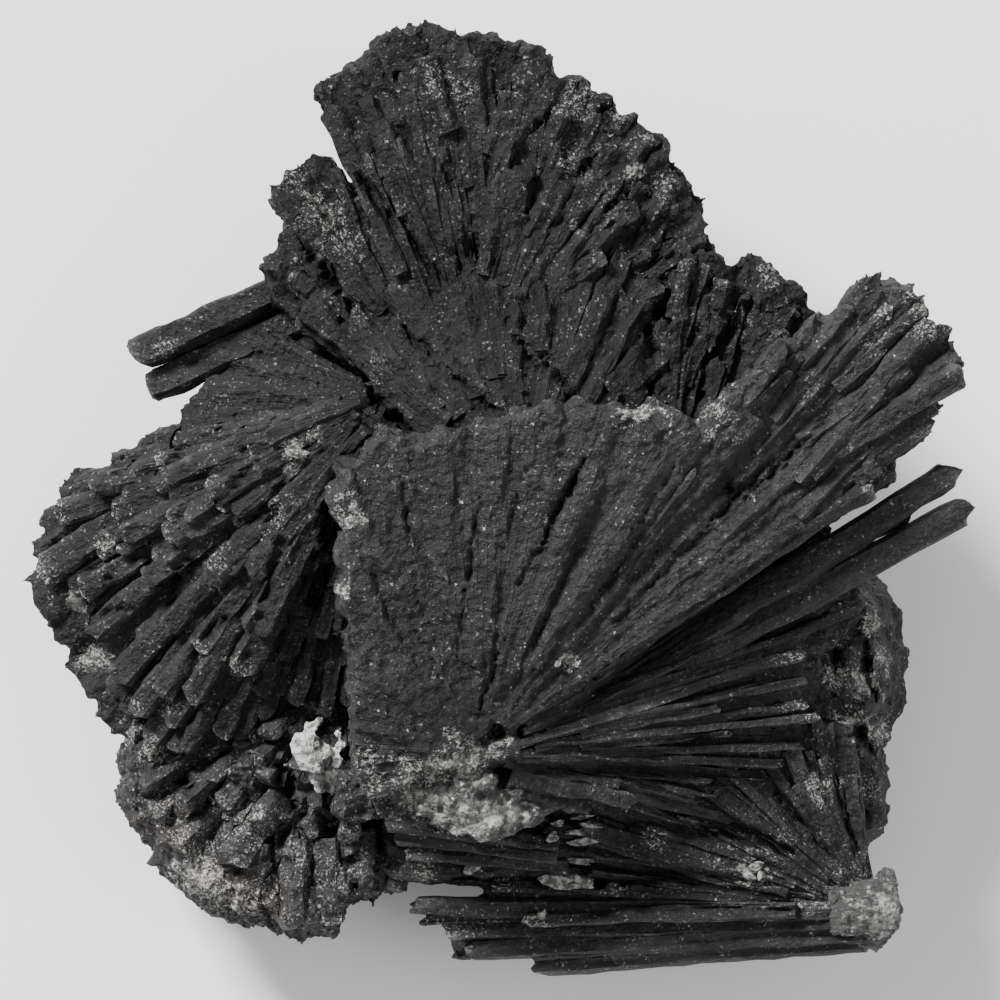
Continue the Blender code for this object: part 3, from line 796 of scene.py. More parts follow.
# Upper right spray
# A second spray that crosses the right half of the upper fan, whose short blades all lean to the
# upper right. It is the roughest part of the cluster.
SPRAY_ROOT = Vector((-2.0, 13.0, 33.0))
SPRAY_ROWS = [
    (84, 33.0, 30.6), (79.5, 32.0, 30.6), (77, 30.4, 30.6), (68.5, 30.8, 30.2), (64.5, 29.2, 30.0),
    (58, 29.2, 29.8), (51, 29.4, 29.4), (46, 27.6, 29.2), (41, 27.9, 29.2), (37.5, 26.2, 29.0),
    (33.5, 26.8, 28.8), (29, 25.0, 28.8), (24, 24.0, 28.8),
]
SPRAY_GAPS = [
    (2.0, 35.6, 5.4, 38.6, 1.3, 2.6), (8.4, 24.6, 6.4, 20.0, 0.6, 1.0),
    (6.0, 30.6, 9.6, 34.6, 0.8, 1.4), (10.0, 26.0, 15.0, 30.6, 0.7, 1.2),
    (12.6, 22.0, 17.6, 24.6, 0.7, 1.2), (4.0, 25.6, 7.4, 29.4, 0.6, 1.0),
    (14.0, 33.4, 16.0, 36.0, 0.9, 1.4), (9.6, 37.4, 11.6, 40.4, 0.9, 1.4),
]
SPRAY_DUST = [
    (8.0, 40.0, 2.4, 0.4), (12.0, 38.2, 2.4, 0.42), (7.4, 34.0, 3.0, 0.3), (13.6, 33.0, 0.9, 0.9),
    (7.6, 27.2, 0.7, 0.9), (16.8, 31.0, 2.4, 0.35), (11.0, 30.0, 3.0, 0.25),
]
spray_kyanite = kyanite_material("spray_kyanite", SPRAY_ROOT, 50.0, dust_and_painted_light=0.45, flecks_and_glints=0.85, streaks=0.6,
                                 painted_shade=0.36)
rng = random.Random(6)
spray = grow_layer(rng, SPRAY_ROOT, SPRAY_ROWS, 14, 6.0, starts=(0.1, 0.2), unevenness=0.6)
short = []
for begin, end, lift in ((0.5, 1.0, 0.9), (0.3, 0.84, 1.4), (0.1, 0.66, 1.6)):
    short += grow_layer(rng, SPRAY_ROOT, SPRAY_ROWS, 13, 2.4, starts=(begin, begin + 0.2),
                        ends=(end - 0.2, end), lift=lift, unevenness=1.0, width=2.3, roll=30.0,
                        rounding=0.35, stray=12.0)
upper_spray = fuse("upper_right_spray", spray, 0.38, short)
score(upper_spray, SPRAY_ROOT, 2.4, 0.24, 8)
open_gaps(upper_spray, SPRAY_GAPS, 24.0)
dust(upper_spray, SPRAY_DUST)
weather(upper_spray, 0.85, 0.9, 0.5, knobs=1.1)
finish_kyanite(upper_spray, spray_kyanite)


# Left fan
# Overlapping layers of finger-like kyanite blades that step down to the lower left, with the
# rounded ends of each layer showing, and a pair of long blades that lie free at its upper edge.
LEFT_ROOT = Vector((-11.5, 10.0, 33.0))
LEFT_ROWS = [
    (148, 13.0, 27.0), (160, 15.5, 25.0), (172, 16.5, 24.0), (184, 19.5, 23.0), (193, 26.0, 22.5),
    (198, 34.0, 21.5), (204, 39.0, 20.0), (210, 40.3, 19.0), (217, 40.2, 18.0), (224, 41.0, 17.5),
    (229, 42.5, 17.5), (236, 44.6, 17.5), (243, 41.0, 18.5), (250, 36.0, 20.0), (257, 32.0, 21.0),
]
# The free ends that show: place, length, width and lift above the fan's own slope.
LEFT_FINGERS = [
    (-40.0, -4.4, 9.0, 2.6, 1.4), (-42.0, -9.2, 8.0, 2.8, 1.2), (-40.8, -13.2, 11.0, 3.0, 1.6),
    (-38.4, -18.0, 12.0, 3.0, 1.4), (-36.6, -21.4, 12.0, 2.6, 1.4), (-34.0, -19.4, 13.0, 2.6, 2.6),
    (-31.0, -20.0, 13.0, 2.6, 3.0), (-26.0, -17.2, 14.0, 3.2, 4.4), (-24.6, -13.2, 12.0, 3.6, 5.2),
    (-20.6, -1.4, 10.0, 3.8, 4.6), (-21.4, -15.2, 9.0, 2.2, 2.2), (-20.6, -20.4, 9.0, 2.2, 1.4),
    (-24.0, -19.6, 9.0, 2.4, 1.2), (-28.0, -23.6, 10.0, 2.6, 1.0), (-31.6, -25.2, 9.0, 2.4, 1.0),
    (-30.6, 3.4, 10.0, 2.4, 3.2), (-26.6, -1.0, 9.0, 2.4, 3.6), (-32.8, -2.2, 12.0, 2.8, 3.2),
    (-35.4, -8.2, 12.0, 2.6, 3.0), (-33.4, -12.8, 12.0, 2.6, 3.2), (-29.0, -8.4, 12.0, 3.0, 4.4),
    (-17.4, -12.6, 8.0, 1.9, 0.4), (-15.6, -16.4, 7.0, 1.8, 0.6), (-18.4, -17.0, 7.0, 1.9, 0.2),
    (-15.2, -20.6, 7.0, 1.8, 1.0), (-17.8, -21.6, 7.0, 1.9, 0.8), (-16.4, -9.0, 8.0, 1.8, 0.2),
    (-37.6, -3.4, 11.0, 2.6, 2.4), (-30.0, -15.0, 11.0, 2.4, 3.4), (-24.6, -7.6, 11.0, 3.2, 5.0),
]
# The free pair and the blades beneath it: root, tip, widths and depths at root and tip.
LEFT_PAIR = [
    ((-19.0, 22.4, 24.5), (-36.8, 14.4, 21.0), (3.4, 3.5), (4.0, 3.2)),
    ((-17.6, 19.0, 23.5), (-35.4, 11.1, 19.7), (3.4, 3.3), (4.0, 3.0)),
    ((-17.0, 15.6, 23.0), (-29.0, 10.6, 19.5), (2.8, 2.0), (4.0, 2.4)),
    ((-18.0, 20.6, 21.6), (-33.6, 13.4, 18.2), (3.6, 3.0), (3.0, 2.4)),
]
LEFT_GAPS = [
    (-17.4, -6.0, -18.8, -10.6, 2.6, 4.0), (-16.4, 2.0, -17.4, -5.6, 1.6, 4.0),
    (-28.8, -3.2, -33.4, -9.0, 0.8, 1.6), (-24.0, 4.6, -30.4, -3.6, 0.7, 1.4),
    (-21.6, -4.0, -25.4, -14.6, 0.9, 2.0),
    (-30.0, 5.4, -38.4, 0.6, 0.6, 1.0), (-34.8, -4.4, -39.6, -8.0, 0.9, 1.6),
    (-36.6, -10.6, -41.0, -12.0, 0.9, 1.6), (-27.0, -10.6, -31.6, -17.4, 0.9, 1.8),
    (-23.4, -12.6, -27.4, -20.0, 0.8, 1.6), (-36.0, 4.6, -41.0, 0.6, 0.6, 1.0),
    (-26.4, 8.6, -33.4, 4.2, 0.6, 1.0), (-21.4, 2.6, -23.4, -3.6, 0.9, 1.8),
    (-31.6, 13.4, -27.6, 15.4, 1.0, 2.0),
]
LEFT_DUST = [
    (-20.2, 4.8, 1.6, 1.0), (-18.8, 6.2, 1.2, 0.7), (-39.2, -4.7, 1.4, 0.7), (-42.6, -10.0, 1.1, 1.0),
    (-41.2, -15.8, 2.0, 0.6), (-35.2, -26.0, 2.0, 0.5), (-26.0, -16.6, 1.6, 0.5), (-22.6, -1.0, 1.6, 0.5),
    (-33.0, -20.6, 1.2, 0.5), (-36.8, -20.8, 1.2, 0.4), (-29.0, -4.6, 2.0, 0.4), (-33.5, 15.6, 1.8, 0.4),
]
left_kyanite = kyanite_material("left_kyanite", LEFT_ROOT, 225.0, dust_and_painted_light=0.5, flecks_and_glints=0.7, streaks=0.8,
                                painted_shade=0.2)
rng = random.Random(7)
left = grow_layer(rng, LEFT_ROOT, LEFT_ROWS, 34, 5.0, lift=-1.8, unevenness=0.8)
fingers = []
for begin, end, lift in ((0.55, 0.99, 0.2), (0.45, 0.90, 1.4), (0.36, 0.80, 2.5), (0.26, 0.70, 3.5),
                         (0.18, 0.60, 4.4), (0.12, 0.50, 5.2), (0.05, 0.40, 5.9)):
    fingers += grow_layer(rng, LEFT_ROOT, LEFT_ROWS[4:13], 13, 1.8, starts=(begin, begin + 0.1),
                          ends=(end - 0.14, end), lift=lift, unevenness=0.65, width=1.3 + 1.4 * end,
                          roll=22.0, rounding=0.36, stray=9.0)
for begin, end, lift in ((0.60, 1.0, 0.4), (0.50, 0.92, 1.2), (0.42, 0.84, 2.0), (0.34, 0.75, 2.8),
                         (0.2, 0.64, 3.4)):
    fingers += grow_layer(rng, LEFT_ROOT, LEFT_ROWS[11:], 6, 1.8, starts=(begin, begin + 0.1),
                          ends=(end - 0.10, end), lift=lift, unevenness=0.6, width=2.1,
                          roll=20.0, rounding=0.36, stray=8.0)
left += grow_layer(rng, LEFT_ROOT, LEFT_ROWS, 16, 7.0, starts=(0.3, 0.5),
                   ends=(0.82, 0.95), lift=-5.0, unevenness=1.2)
for x, y, length, width, lift in LEFT_FINGERS:
    run = Vector((x, y, 0.0)) - Vector((LEFT_ROOT.x, LEFT_ROOT.y, 0.0))
    direction = math.degrees(math.atan2(run.y, run.x)) % 360.0
    reach, height = reach_and_height(LEFT_ROWS, direction)
    slope = (height - LEFT_ROOT.z) / reach
    tip = Vector((x, y, LEFT_ROOT.z + slope * run.length + lift - 0.6))
    root = tip - run.normalized() * length
    root.z = tip.z - slope * length - 0.8
    fingers.append(plant(rng.choice(blades), rng, root, tip, (width * 0.8, width), (3.0, 2.6),
                         math.radians(rng.uniform(-12, 12)), 0.3))
for root, tip, widths, depths in LEFT_PAIR:
    fingers.append(plant(blades[1], rng, root, tip, widths, depths, 0.1))
left_fan = fuse("left_fan", left, 0.37, fingers)
score(left_fan, LEFT_ROOT, 2.2, 0.25, 4)
open_gaps(left_fan, LEFT_GAPS, 12.0)
dust(left_fan, LEFT_DUST)
weather(left_fan, 0.65, 0.9, 0.42)
finish_kyanite(left_fan, left_kyanite)


# Lower left mass
# Short stubby kyanite blades in many layers, seen almost on their broken ends, so that this
# corner looks granular. Mica dust clings to most of them.
END_ROOT = Vector((-14.0, -15.0, 9.0))
END_ROWS = [
    (186, 21.5, 15.0), (195, 24.0, 16.0), (206, 26.5, 17.0), (212, 28.4, 18.0), (222, 28.8, 18.5),
    (234, 30.0, 19.5), (246, 29.8, 19.5), (254, 29.2, 19.0), (260, 28.8, 19.0), (263, 28.4, 18.5),
    (264.5, 25.2, 18.5), (280, 23.6, 18.0),
]
END_STUBS = [
    ((-20.4, -34.0, 17.0), (-20.8, -43.2, 17.0), (3.0, 3.2), (5.0, 5.0)),
    ((-17.6, -34.0, 16.0), (-17.2, -43.0, 16.0), (3.0, 3.4), (5.0, 5.0)),
    ((-13.6, -33.0, 16.0), (-13.4, -40.2, 16.0), (2.6, 2.4), (5.0, 4.0)),
    ((-24.0, -34.0, 17.0), (-25.6, -41.6, 16.0), (3.0, 3.0), (5.0, 5.0)),
    ((-10.0, -33.0, 15.0), (-10.4, -39.6, 15.0), (2.4, 2.0), (5.0, 4.0)),
]
END_DUST = [(-30.5, -38.6, 3.6, 0.9), (-27.6, -40.2, 2.4, 0.7), (-22.0, -42.0, 1.6, 0.4),
            (-34.0, -31.0, 2.6, 0.4), (-25.0, -33.0, 4.0, 0.35), (-30.0, -34.0, 4.0, 0.4),
            (-20.0, -36.0, 3.6, 0.35), (-24.0, -39.0, 3.0, 0.4), (-16.0, -38.0, 3.0, 0.3)]
END_GAPS = [(-22.4, -26.0, -20.4, -32.0, 2.0, 4.0), (-20.6, -32.0, -23.6, -36.6, 0.9, 2.0),
            (-24.4, -39.6, -22.8, -43.0, 1.0, 2.0), (-33.6, -27.2, -30.0, -29.6, 1.2, 2.4)]
# The strong dust on this copy is partly painted light on the shaded corner.
lower_left_kyanite = kyanite_material("lower_left_kyanite", END_ROOT, 230.0, dust_and_painted_light=1.5, flecks_and_glints=1.0,
                                      streaks=0.3)
rng = random.Random(9)
ends = grow_layer(rng, END_ROOT, END_ROWS, 32, 7.0, unevenness=1.0, overlap=1.5)
ends.append(plant(blades[3], rng, (-14.4, -27.0, 22.6), (-14.2, -32.2, 22.4), (4.2, 4.6), (6.0, 5.0),
                  rounding=0.34))
ends += grow_layer(rng, END_ROOT, END_ROWS, 16, 8.0, starts=(0.02, 0.1), ends=(0.5, 0.7),
                   lift=5.0, unevenness=1.0)
stubs = []
for begin, end, lift in ((0.35, 0.97, 1.0), (0.3, 0.86, 2.8), (0.2, 0.74, 4.6), (0.1, 0.60, 6.4),
                         (0.02, 0.46, 8.2), (0.02, 0.32, 9.6)):
    stubs += grow_layer(rng, END_ROOT, END_ROWS, 17, 3.2, starts=(begin, begin + 0.15),
                        ends=(end - 0.16, end), lift=lift, unevenness=1.2, width=2.3, roll=40.0,
                        rounding=0.3, stray=16.0)
for root, tip, widths, depths in END_STUBS:
    stubs.append(plant(rng.choice(blades), rng, root, tip, widths, depths))
lower_left = fuse("lower_left_blades", ends, 0.38, stubs)
open_gaps(lower_left, END_GAPS, 8.0)
dust(lower_left, END_DUST)
weather(lower_left, 1.1, 0.8, 0.65, knobs=0.9)
finish_kyanite(lower_left, lower_left_kyanite)


# Lower right fan
# Long thin kyanite blades spreading to the left from a root at the lower right corner, deep in
# the shade of the front fan, with a bundle of long ones along the bottom edge.
CORNER_ROOT = Vector((37.0, -41.0, 19.0))
LOW_ROWS = [
    (176.2, 46.6, 19.0), (174, 49.6, 19.6), (170, 50.6, 21.5), (165, 46.0, 23.5), (158, 40.0, 25.0),
    (148, 34.0, 25.5), (137, 30.0, 25.5), (124, 26.0, 25.0), (111, 22.0, 24.0), (98, 20.0, 22.5),
]
BOTTOM_ROWS = [(187.5, 40.6, 13.0), (184, 43.0, 14.5), (181, 44.6, 16.0), (178.8, 40.4, 17.0),
               (176.6, 40.2, 18.6)]
BOTTOM_BLADES = [
    ((37.0, -44.2, 16.5), (3.4, -47.0, 12.0), (2.6, 2.2), (6.0, 6.0)),
    ((37.0, -43.4, 17.0), (3.0, -45.4, 13.4), (2.4, 2.4), (6.0, 6.0)),
    ((37.0, -42.8, 17.0), (-3.0, -45.4, 13.6), (2.6, 2.4), (6.0, 6.0)),
    ((37.0, -42.2, 18.0), (-5.6, -43.4, 15.0), (2.4, 1.8), (6.0, 4.0)),
    ((34.0, -41.4, 18.6), (-9.0, -41.0, 16.6), (2.4, 1.7), (5.0, 3.6)),
    ((20.0, -41.4, 17.6), (-7.8, -42.3, 16.0), (2.0, 1.2), (4.0, 3.0)),
    ((30.0, -41.2, 20.6), (2.2, -42.3, 19.4), (1.4, 1.1), (2.4, 2.0)),
    ((6.0, -34.6, 23.0), (-11.6, -32.4, 22.0), (1.6, 1.6), (3.0, 3.0)),
    ((6.0, -35.8, 22.4), (-10.6, -33.8, 21.0), (1.4, 1.4), (3.0, 3.0)),
    ((7.0, -36.8, 21.6), (-9.6, -35.4, 20.0), (1.4, 1.4), (3.0, 3.0)),
]
LOW_GAPS = [
    (30.0, -35.6, 14.0, -29.4, 2.6, 4.0), (24.0, -33.6, 4.0, -31.6, 1.6, 3.0),
    (30.0, -38.6, 6.0, -36.4, 0.9, 1.8), (32.0, -40.8, 4.0, -41.0, 0.9, 1.8),
    (20.0, -38.4, -6.0, -38.2, 1.2, 2.4), (34.0, -36.6, 27.0, -28.6, 0.9, 1.8),
    (36.0, -36.0, 33.0, -27.0, 0.9, 1.8),
]
LOW_DUST = [(25.6, -37.2, 1.7, 0.8), (27.6, -34.6, 2.0, 0.6), (31.8, -28.8, 1.8, 0.7),
            (15.6, -33.6, 1.6, 0.4), (20.0, -32.0, 1.6, 0.35), (31.5, -40.2, 2.4, 0.4),
            (36.0, -38.0, 2.6, 0.4), (22.0, -36.0, 1.4, 0.4), (-7.6, -37.4, 1.6, 0.5),
            (-10.4, -37.0, 1.6, 0.3), (12.0, -39.2, 1.4, 0.3)]
low_kyanite = kyanite_material("lower_right_kyanite", CORNER_ROOT, 150.0, dust_and_painted_light=0.8, flecks_and_glints=0.9,
                               streaks=1.2)
rng = random.Random(13)
low = grow_layer(rng, CORNER_ROOT, LOW_ROWS, 24, 6.0, starts=(0.03, 0.08),
                 ends=(0.92, 1.0), unevenness=0.7, overlap=1.1)
low += grow_layer(rng, CORNER_ROOT, BOTTOM_ROWS, 7, 6.0, starts=(0.03, 0.08),
                  ends=(0.92, 1.0), unevenness=0.5)
fine = []
for begin, end, lift in ((0.03, 0.98, 0.5), (0.03, 0.85, 1.1)):
    fine += grow_layer(rng, CORNER_ROOT, LOW_ROWS, 22, 2.2, starts=(begin, begin + 0.2),
                       ends=(end - 0.35, end), lift=lift, unevenness=0.8, width=1.6, roll=20.0,
                       stray=3.0)
low += grow_layer(rng, CORNER_ROOT, LOW_ROWS, 18, 7.0, starts=(0.05, 0.2),
                  ends=(0.85, 0.97), lift=-5.0, unevenness=1.0, overlap=1.3)
for root, tip, widths, depths in BOTTOM_BLADES:
    fine.append(plant(rng.choice(blades), rng, root, tip, widths, depths))
lower_right = fuse("lower_right_fan", low, 0.38, fine)
score(lower_right, CORNER_ROOT, 1.8, 0.25, 5)
open_gaps(lower_right, LOW_GAPS, 9.0)
dust(lower_right, LOW_DUST)
weather(lower_right, 0.5, 0.9, 0.36)
finish_kyanite(lower_right, low_kyanite)


# Right lumps
# Short wavy kyanite blades grown into lens-like lumps, which close the right side below the long
# free blades.
RIGHT_ROOT = Vector((24.0, -14.0, 14.0))
RIGHT_ROWS = [
    (26, 14.6, 18.0), (12, 15.0, 20.0), (-4, 15.4, 20.5), (-20, 16.2, 20.0), (-36, 17.2, 18.0),
    (-52, 22.6, 17.0), (-64, 27.0, 16.0),
]
# Pale patches: mica dust, and painted glints on the two brightest lumps.
RIGHT_DUST_AND_GLINTS = [(36.4, -18.6, 1.8, 0.9), (38.0, -23.6, 1.8, 0.8), (33.6, -17.4, 1.8, 0.7),
              (38.4, -16.4, 1.6, 0.7), (35.0, -26.0, 1.8, 0.6), (36.8, -12.6, 1.6, 0.6),
              (34.8, -22.0, 1.6, 0.6), (34.0, -13.6, 1.4, 0.5), (37.4, -28.6, 1.6, 0.4)]
RIGHT_GAPS = [(36.6, -14.0, 37.6, -20.4, 1.2, 2.6), (35.4, -22.4, 38.2, -26.4, 1.2, 2.6),
              (33.0, -12.0, 33.6, -17.0, 1.0, 2.0)]
# The strong dust on this copy is partly painted light on the shaded lumps.
right_kyanite = kyanite_material("right_kyanite", RIGHT_ROOT, -20.0, dust_and_painted_light=1.4, flecks_and_glints=0.85, streaks=0.5)
rng = random.Random(15)
lumps = grow_layer(rng, RIGHT_ROOT, RIGHT_ROWS, 20, 9.0, unevenness=0.8, overlap=2.6)
for begin, end, lift in ((0.4, 0.98, 1.0), (0.3, 0.85, 3.0), (0.2, 0.7, 4.5)):
    lumps += grow_layer(rng, RIGHT_ROOT, RIGHT_ROWS, 9, 4.0, starts=(begin, begin + 0.1),
                        ends=(end - 0.1, end), lift=lift, unevenness=0.9, width=3.4, roll=20.0)
right_lumps = fuse("right_lumps", lumps, 0.4)
open_gaps(right_lumps, RIGHT_GAPS, 10.0)
dust(right_lumps, RIGHT_DUST_AND_GLINTS)
weather(right_lumps, 0.8, 1.0, 0.4, knobs=1.2)
finish_kyanite(right_lumps, right_kyanite)


# Pale mineral
# Lumps of whitish mica and quartz that the sprays grew from: a ragged band under the root of the
# front fan, a blocky one in the hollow beside it, and a layered cap on the lower right corner.
ROOT_CHIPS = [
    # place, size
    (-9.6, -29.4, 33.0, 1.4), (-7.8, -30.2, 32.8, 1.5), (-6.6, -29.0, 33.8, 1.5),
    (-6.0, -31.2, 32.6, 1.5), (-4.8, -29.8, 33.6, 1.6), (-4.4, -31.8, 32.4, 1.6),
    (-3.4, -28.4, 34.4, 1.5), (-3.0, -30.4, 33.4, 1.7), (-2.6, -32.2, 32.2, 1.6),
    (-1.6, -28.0, 34.4, 1.4), (-1.2, -29.8, 33.4, 1.6), (-0.8, -31.8, 32.2, 1.7),
    (0.6, -30.6, 32.4, 1.5), (0.8, -32.4, 31.4, 1.4), (2.2, -31.4, 31.4, 1.4),
    (3.2, -30.2, 31.4, 1.2), (1.4, -29.0, 32.8, 1.2), (-0.4, -33.0, 31.2, 1.1),
    (-2.0, -33.0, 31.4, 1.1), (3.6, -31.6, 30.8, 1.0), (-4.0, -27.2, 34.8, 1.1),
    (-8.8, -28.4, 33.6, 1.1), (4.6, -30.6, 30.8, 0.9), (-11.2, -29.2, 32.4, 1.0),
]
SIDE_CHIPS = [
    (-19.6, -25.0, 24.2, 1.5), (-18.6, -25.8, 24.0, 1.5), (-19.0, -24.6, 24.4, 1.3),
    (-18.4, -27.9, 22.8, 0.9), (-18.0, -28.9, 22.0, 0.7), (-16.4, -26.4, 23.2, 1.0),
    (-16.0, -27.6, 22.8, 1.1), (-16.6, -28.6, 22.2, 0.9), (-15.8, -29.0, 21.8, 0.8),
    (-16.0, -24.6, 23.6, 0.6), (-16.2, -23.4, 23.8, 0.5), (-19.0, -22.8, 23.8, 0.7),
    (-18.2, -22.2, 23.6, 0.6), (-17.0, -25.6, 22.8, 0.9), (-17.4, -27.0, 22.4, 1.1),
]
CORNER_CHIPS = [
    (36.8, -41.2, 20.4, 2.6), (38.2, -40.4, 19.8, 2.2), (35.0, -42.0, 20.0, 2.0),
    (37.2, -43.0, 19.0, 2.0), (34.4, -40.2, 20.4, 1.6), (38.4, -42.4, 18.2, 1.8),
    (38.6, -38.8, 18.8, 1.5), (36.4, -39.0, 20.0, 1.4), (35.4, -43.8, 18.6, 1.4),
    (38.9, -41.2, 18.4, 1.6),
]
ROOT_DUST = [(-2.5, -32.2, 3.6, 1.0), (1.5, -31.4, 2.6, 0.8), (-5.0, -31.0, 2.6, 0.9),
             (-8.0, -30.4, 2.4, 0.6), (6.8, -32.8, 1.6, 0.8), (12.0, -29.8, 1.2, 0.6)]


def model_chip(name, seed):
    """A broken lump of unit size: a bevelled block with its corners struck off."""
    rng = random.Random(seed)
    bpy.ops.object.select_all(action="DESELECT")
    bpy.ops.mesh.primitive_cube_add(size=2.0)
    chip = bpy.context.object
    chip.name = name
    bpy.ops.object.mode_set(mode="EDIT")
    bpy.ops.mesh.select_all(action="SELECT")
    bpy.ops.mesh.bevel(offset=0.35, segments=1)
    for strike in range(6):
        normal = Vector((rng.uniform(-1, 1), rng.uniform(-1, 1), rng.uniform(-1, 1))).normalized()
        bpy.ops.mesh.select_all(action="SELECT")
        bpy.ops.mesh.bisect(plane_co=normal * rng.uniform(0.75, 0.95), plane_no=normal,
                            use_fill=True, clear_outer=True)
    bpy.ops.mesh.select_all(action="SELECT")
    bpy.ops.mesh.quads_convert_to_tris()
    bpy.ops.object.mode_set(mode="OBJECT")
    return chip


def heap(name, chips, voxel, rng):
    """Chips of pale mineral grown together into one lump."""
    placed = []
    for x, y, z, size in chips:
        pattern = rng.choice(lumps_of_mica)
        copy = bpy.data.objects.new("chip", pattern.data.copy())
        scene.collection.objects.link(copy)
        turn = Matrix.Rotation(rng.uniform(0, 6.28), 4, Vector((
            rng.uniform(-1, 1), rng.uniform(-1, 1), rng.uniform(-1, 1))).normalized())
        stretch = Matrix.Diagonal((size * rng.uniform(0.85, 1.1), size * rng.uniform(0.8, 1.1),
                                   size * rng.uniform(0.75, 1.0), 1.0))
        copy.data.transform(Matrix.Scale(MM, 4) @ Matrix.Translation(Vector((x, y, z)) + VIEW_SHIFT)
                            @ turn @ stretch)
        placed.append(copy)
    return fuse(name, placed, voxel)


def mica_material(name, bright, layered):
    """Whitish mica and quartz with dark grains between, and a soft glitter."""
    board = Board(name)
    spot = board.place()
    flat = board.node("VectorMath", {"operation": "MULTIPLY"}, {
        0: spot, 1: (1.0 + 0.6 * layered, 1.0 + 2.2 * layered, 1.0 + 2.2 * layered)})
    cloud = board.noise(flat, 0.7, detail=3.0, rough=0.6)
    grit = board.noise(spot, 2.8, detail=3.0, rough=0.75)
    pale = board.node("Attribute", {"attribute_name": "pale"}, output=2)
    raised = board.node("NewGeometry", output=7)
    painted_crease_shade = board.ramp(raised, 0.49, 0.40)
    light = board.ramp(cloud + pale * 0.30, 0.54, 0.92)
    colour = board.mix(light, (0.10 * bright, 0.098 * bright, 0.094 * bright),
                       (0.78 * bright, 0.77 * bright, 0.74 * bright))
    colour = board.mix(board.ramp(grit, 0.46, 0.36) * 0.7, colour, (0.07, 0.068, 0.066))
    # Painted shade in the creases and hollows of the lump.
    colour = board.mix(painted_crease_shade * 0.6, colour, (0.05, 0.048, 0.046))
    near = board.node("TexVoronoi", {}, {"Vector": spot, "Scale": 1.7})
    grain = (near < 0.26) * board.ramp(cloud + pale * 0.2, 0.66, 0.54)
    colour = board.mix(grain * 0.9, colour, (0.03, 0.03, 0.031))
    glint = board.node("TexVoronoi", {}, {"Vector": spot, "Scale": 1.25})
    chance = board.node("TexVoronoi", {}, {"Vector": spot, "Scale": 1.25}, output=1)
    luck = board.node("SeparateColor", {}, {0: chance})
    shiny = board.ramp(glint, 0.34, 0.16) * (luck > 0.55) * (0.3 + pale * 0.5)
    colour = board.mix(shiny, colour, (0.74, 0.73, 0.70))
    board.feed(board.shader.inputs["Base Color"], colour)
    board.feed(board.shader.inputs["Roughness"], 0.62 - board.ramp(grit, 0.45, 0.7) * 0.3)
    bump = board.node("Bump", {}, {"Strength": 0.9, "Distance": 0.0008,
                                   "Height": grit * 0.6 + cloud * 0.6})
    board.feed(board.shader.inputs["Normal"], bump)
    return board.material


rng = random.Random(21)
lumps_of_mica = [model_chip(f"chip_{seed}", 30 + seed) for seed in range(4)]
for name, chips, node, patches, bright, layered, rough in (
        ("root_mica", ROOT_CHIPS, "root_quartz", ROOT_DUST, 0.46, 0.0, 0.55),
        ("side_mica", SIDE_CHIPS, "side_quartz", [(-18.5, -25.5, 8.0, 0.9)], 0.85, 0.0, 0.3),
        ("corner_mica", CORNER_CHIPS, "corner_quartz", [(38.6, -41.4, 2.8, 1.0)], 0.5, 1.0, 0.5)):
    lump = heap(name, chips, 0.23, rng)
    dust(lump, patches)
    weather(lump, rough, 0.7, rough, 0.42, crisp=18)
    lump.data.materials.append(mica_material(name + "_material", bright, layered))
    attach(lump, "root")
    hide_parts(node)


# Mica flakes
# Thin leaves of silvery mica that cling to the blades where they lie, a few of them stacked
# like pages.
FLAKES = [
    # piece that carries it, place, length, width, turn, number of leaves
    (lower_right, 6.4, -38.2, 6.8, 2.6, 4.0, 3), (lower_right, 7.8, -36.2, 3.2, 0.8, 2.0, 2),
    (lower_right, 8.0, -31.8, 3.0, 0.6, 2.0, 2), (lower_right, 9.2, -32.6, 2.6, 0.6, -4.0, 2),
    (lower_right, 8.0, -33.3, 3.6, 0.8, 4.0, 2), (lower_right, 8.4, -34.2, 3.8, 0.9, 2.0, 2),
    (lower_right, 5.2, -33.8, 1.6, 1.2, 40.0, 3), (lower_right, 5.8, -32.4, 1.6, 0.7, 10.0, 2),
    (lower_right, -2.8, -37.0, 2.4, 1.2, 30.0, 2), (lower_right, 4.2, -41.6, 1.2, 1.0, 60.0, 2),
    (lower_right, 25.7, -36.9, 2.2, 1.2, 35.0, 2), (lower_right, 25.0, -37.7, 1.7, 0.9, -20.0, 2),
    (lower_right, 26.2, -37.6, 1.4, 0.8, 80.0, 2), (left_fan, -20.2, 4.6, 2.6, 1.0, -14.0, 3),
    (front_sheet, 5.8, -16.2, 1.0, 0.7, 50.0, 2),
]


LEAF_SIDES = 14
LEAF_THICKNESS = 0.34
# How far one leaf lies above the next, in millimetres.
LEAF_STEP = 0.26


def model_leaf(seed):
    """A leaf of mica of unit size: a thin disc with a ragged rim."""
    rng = random.Random(seed)
    bpy.ops.object.select_all(action="DESELECT")
    bpy.ops.mesh.primitive_cylinder_add(vertices=LEAF_SIDES, radius=0.5, depth=1.0)
    leaf = bpy.context.object
    leaf.name = f"leaf_{seed}"
    rim = [rng.uniform(0.55, 1.1) for side in range(LEAF_SIDES)]
    for vert in leaf.data.vertices:
        turn = math.degrees(math.atan2(vert.co.y, vert.co.x)) % 360 / 360
        share = rim[int(turn * LEAF_SIDES + 0.5) % LEAF_SIDES]
        vert.co.x *= share
        vert.co.y *= share
    bpy.ops.object.mode_set(mode="EDIT")
    bpy.ops.mesh.select_all(action="SELECT")
    bpy.ops.mesh.bevel(offset=0.04, segments=1)
    bpy.ops.object.mode_set(mode="OBJECT")
    return leaf


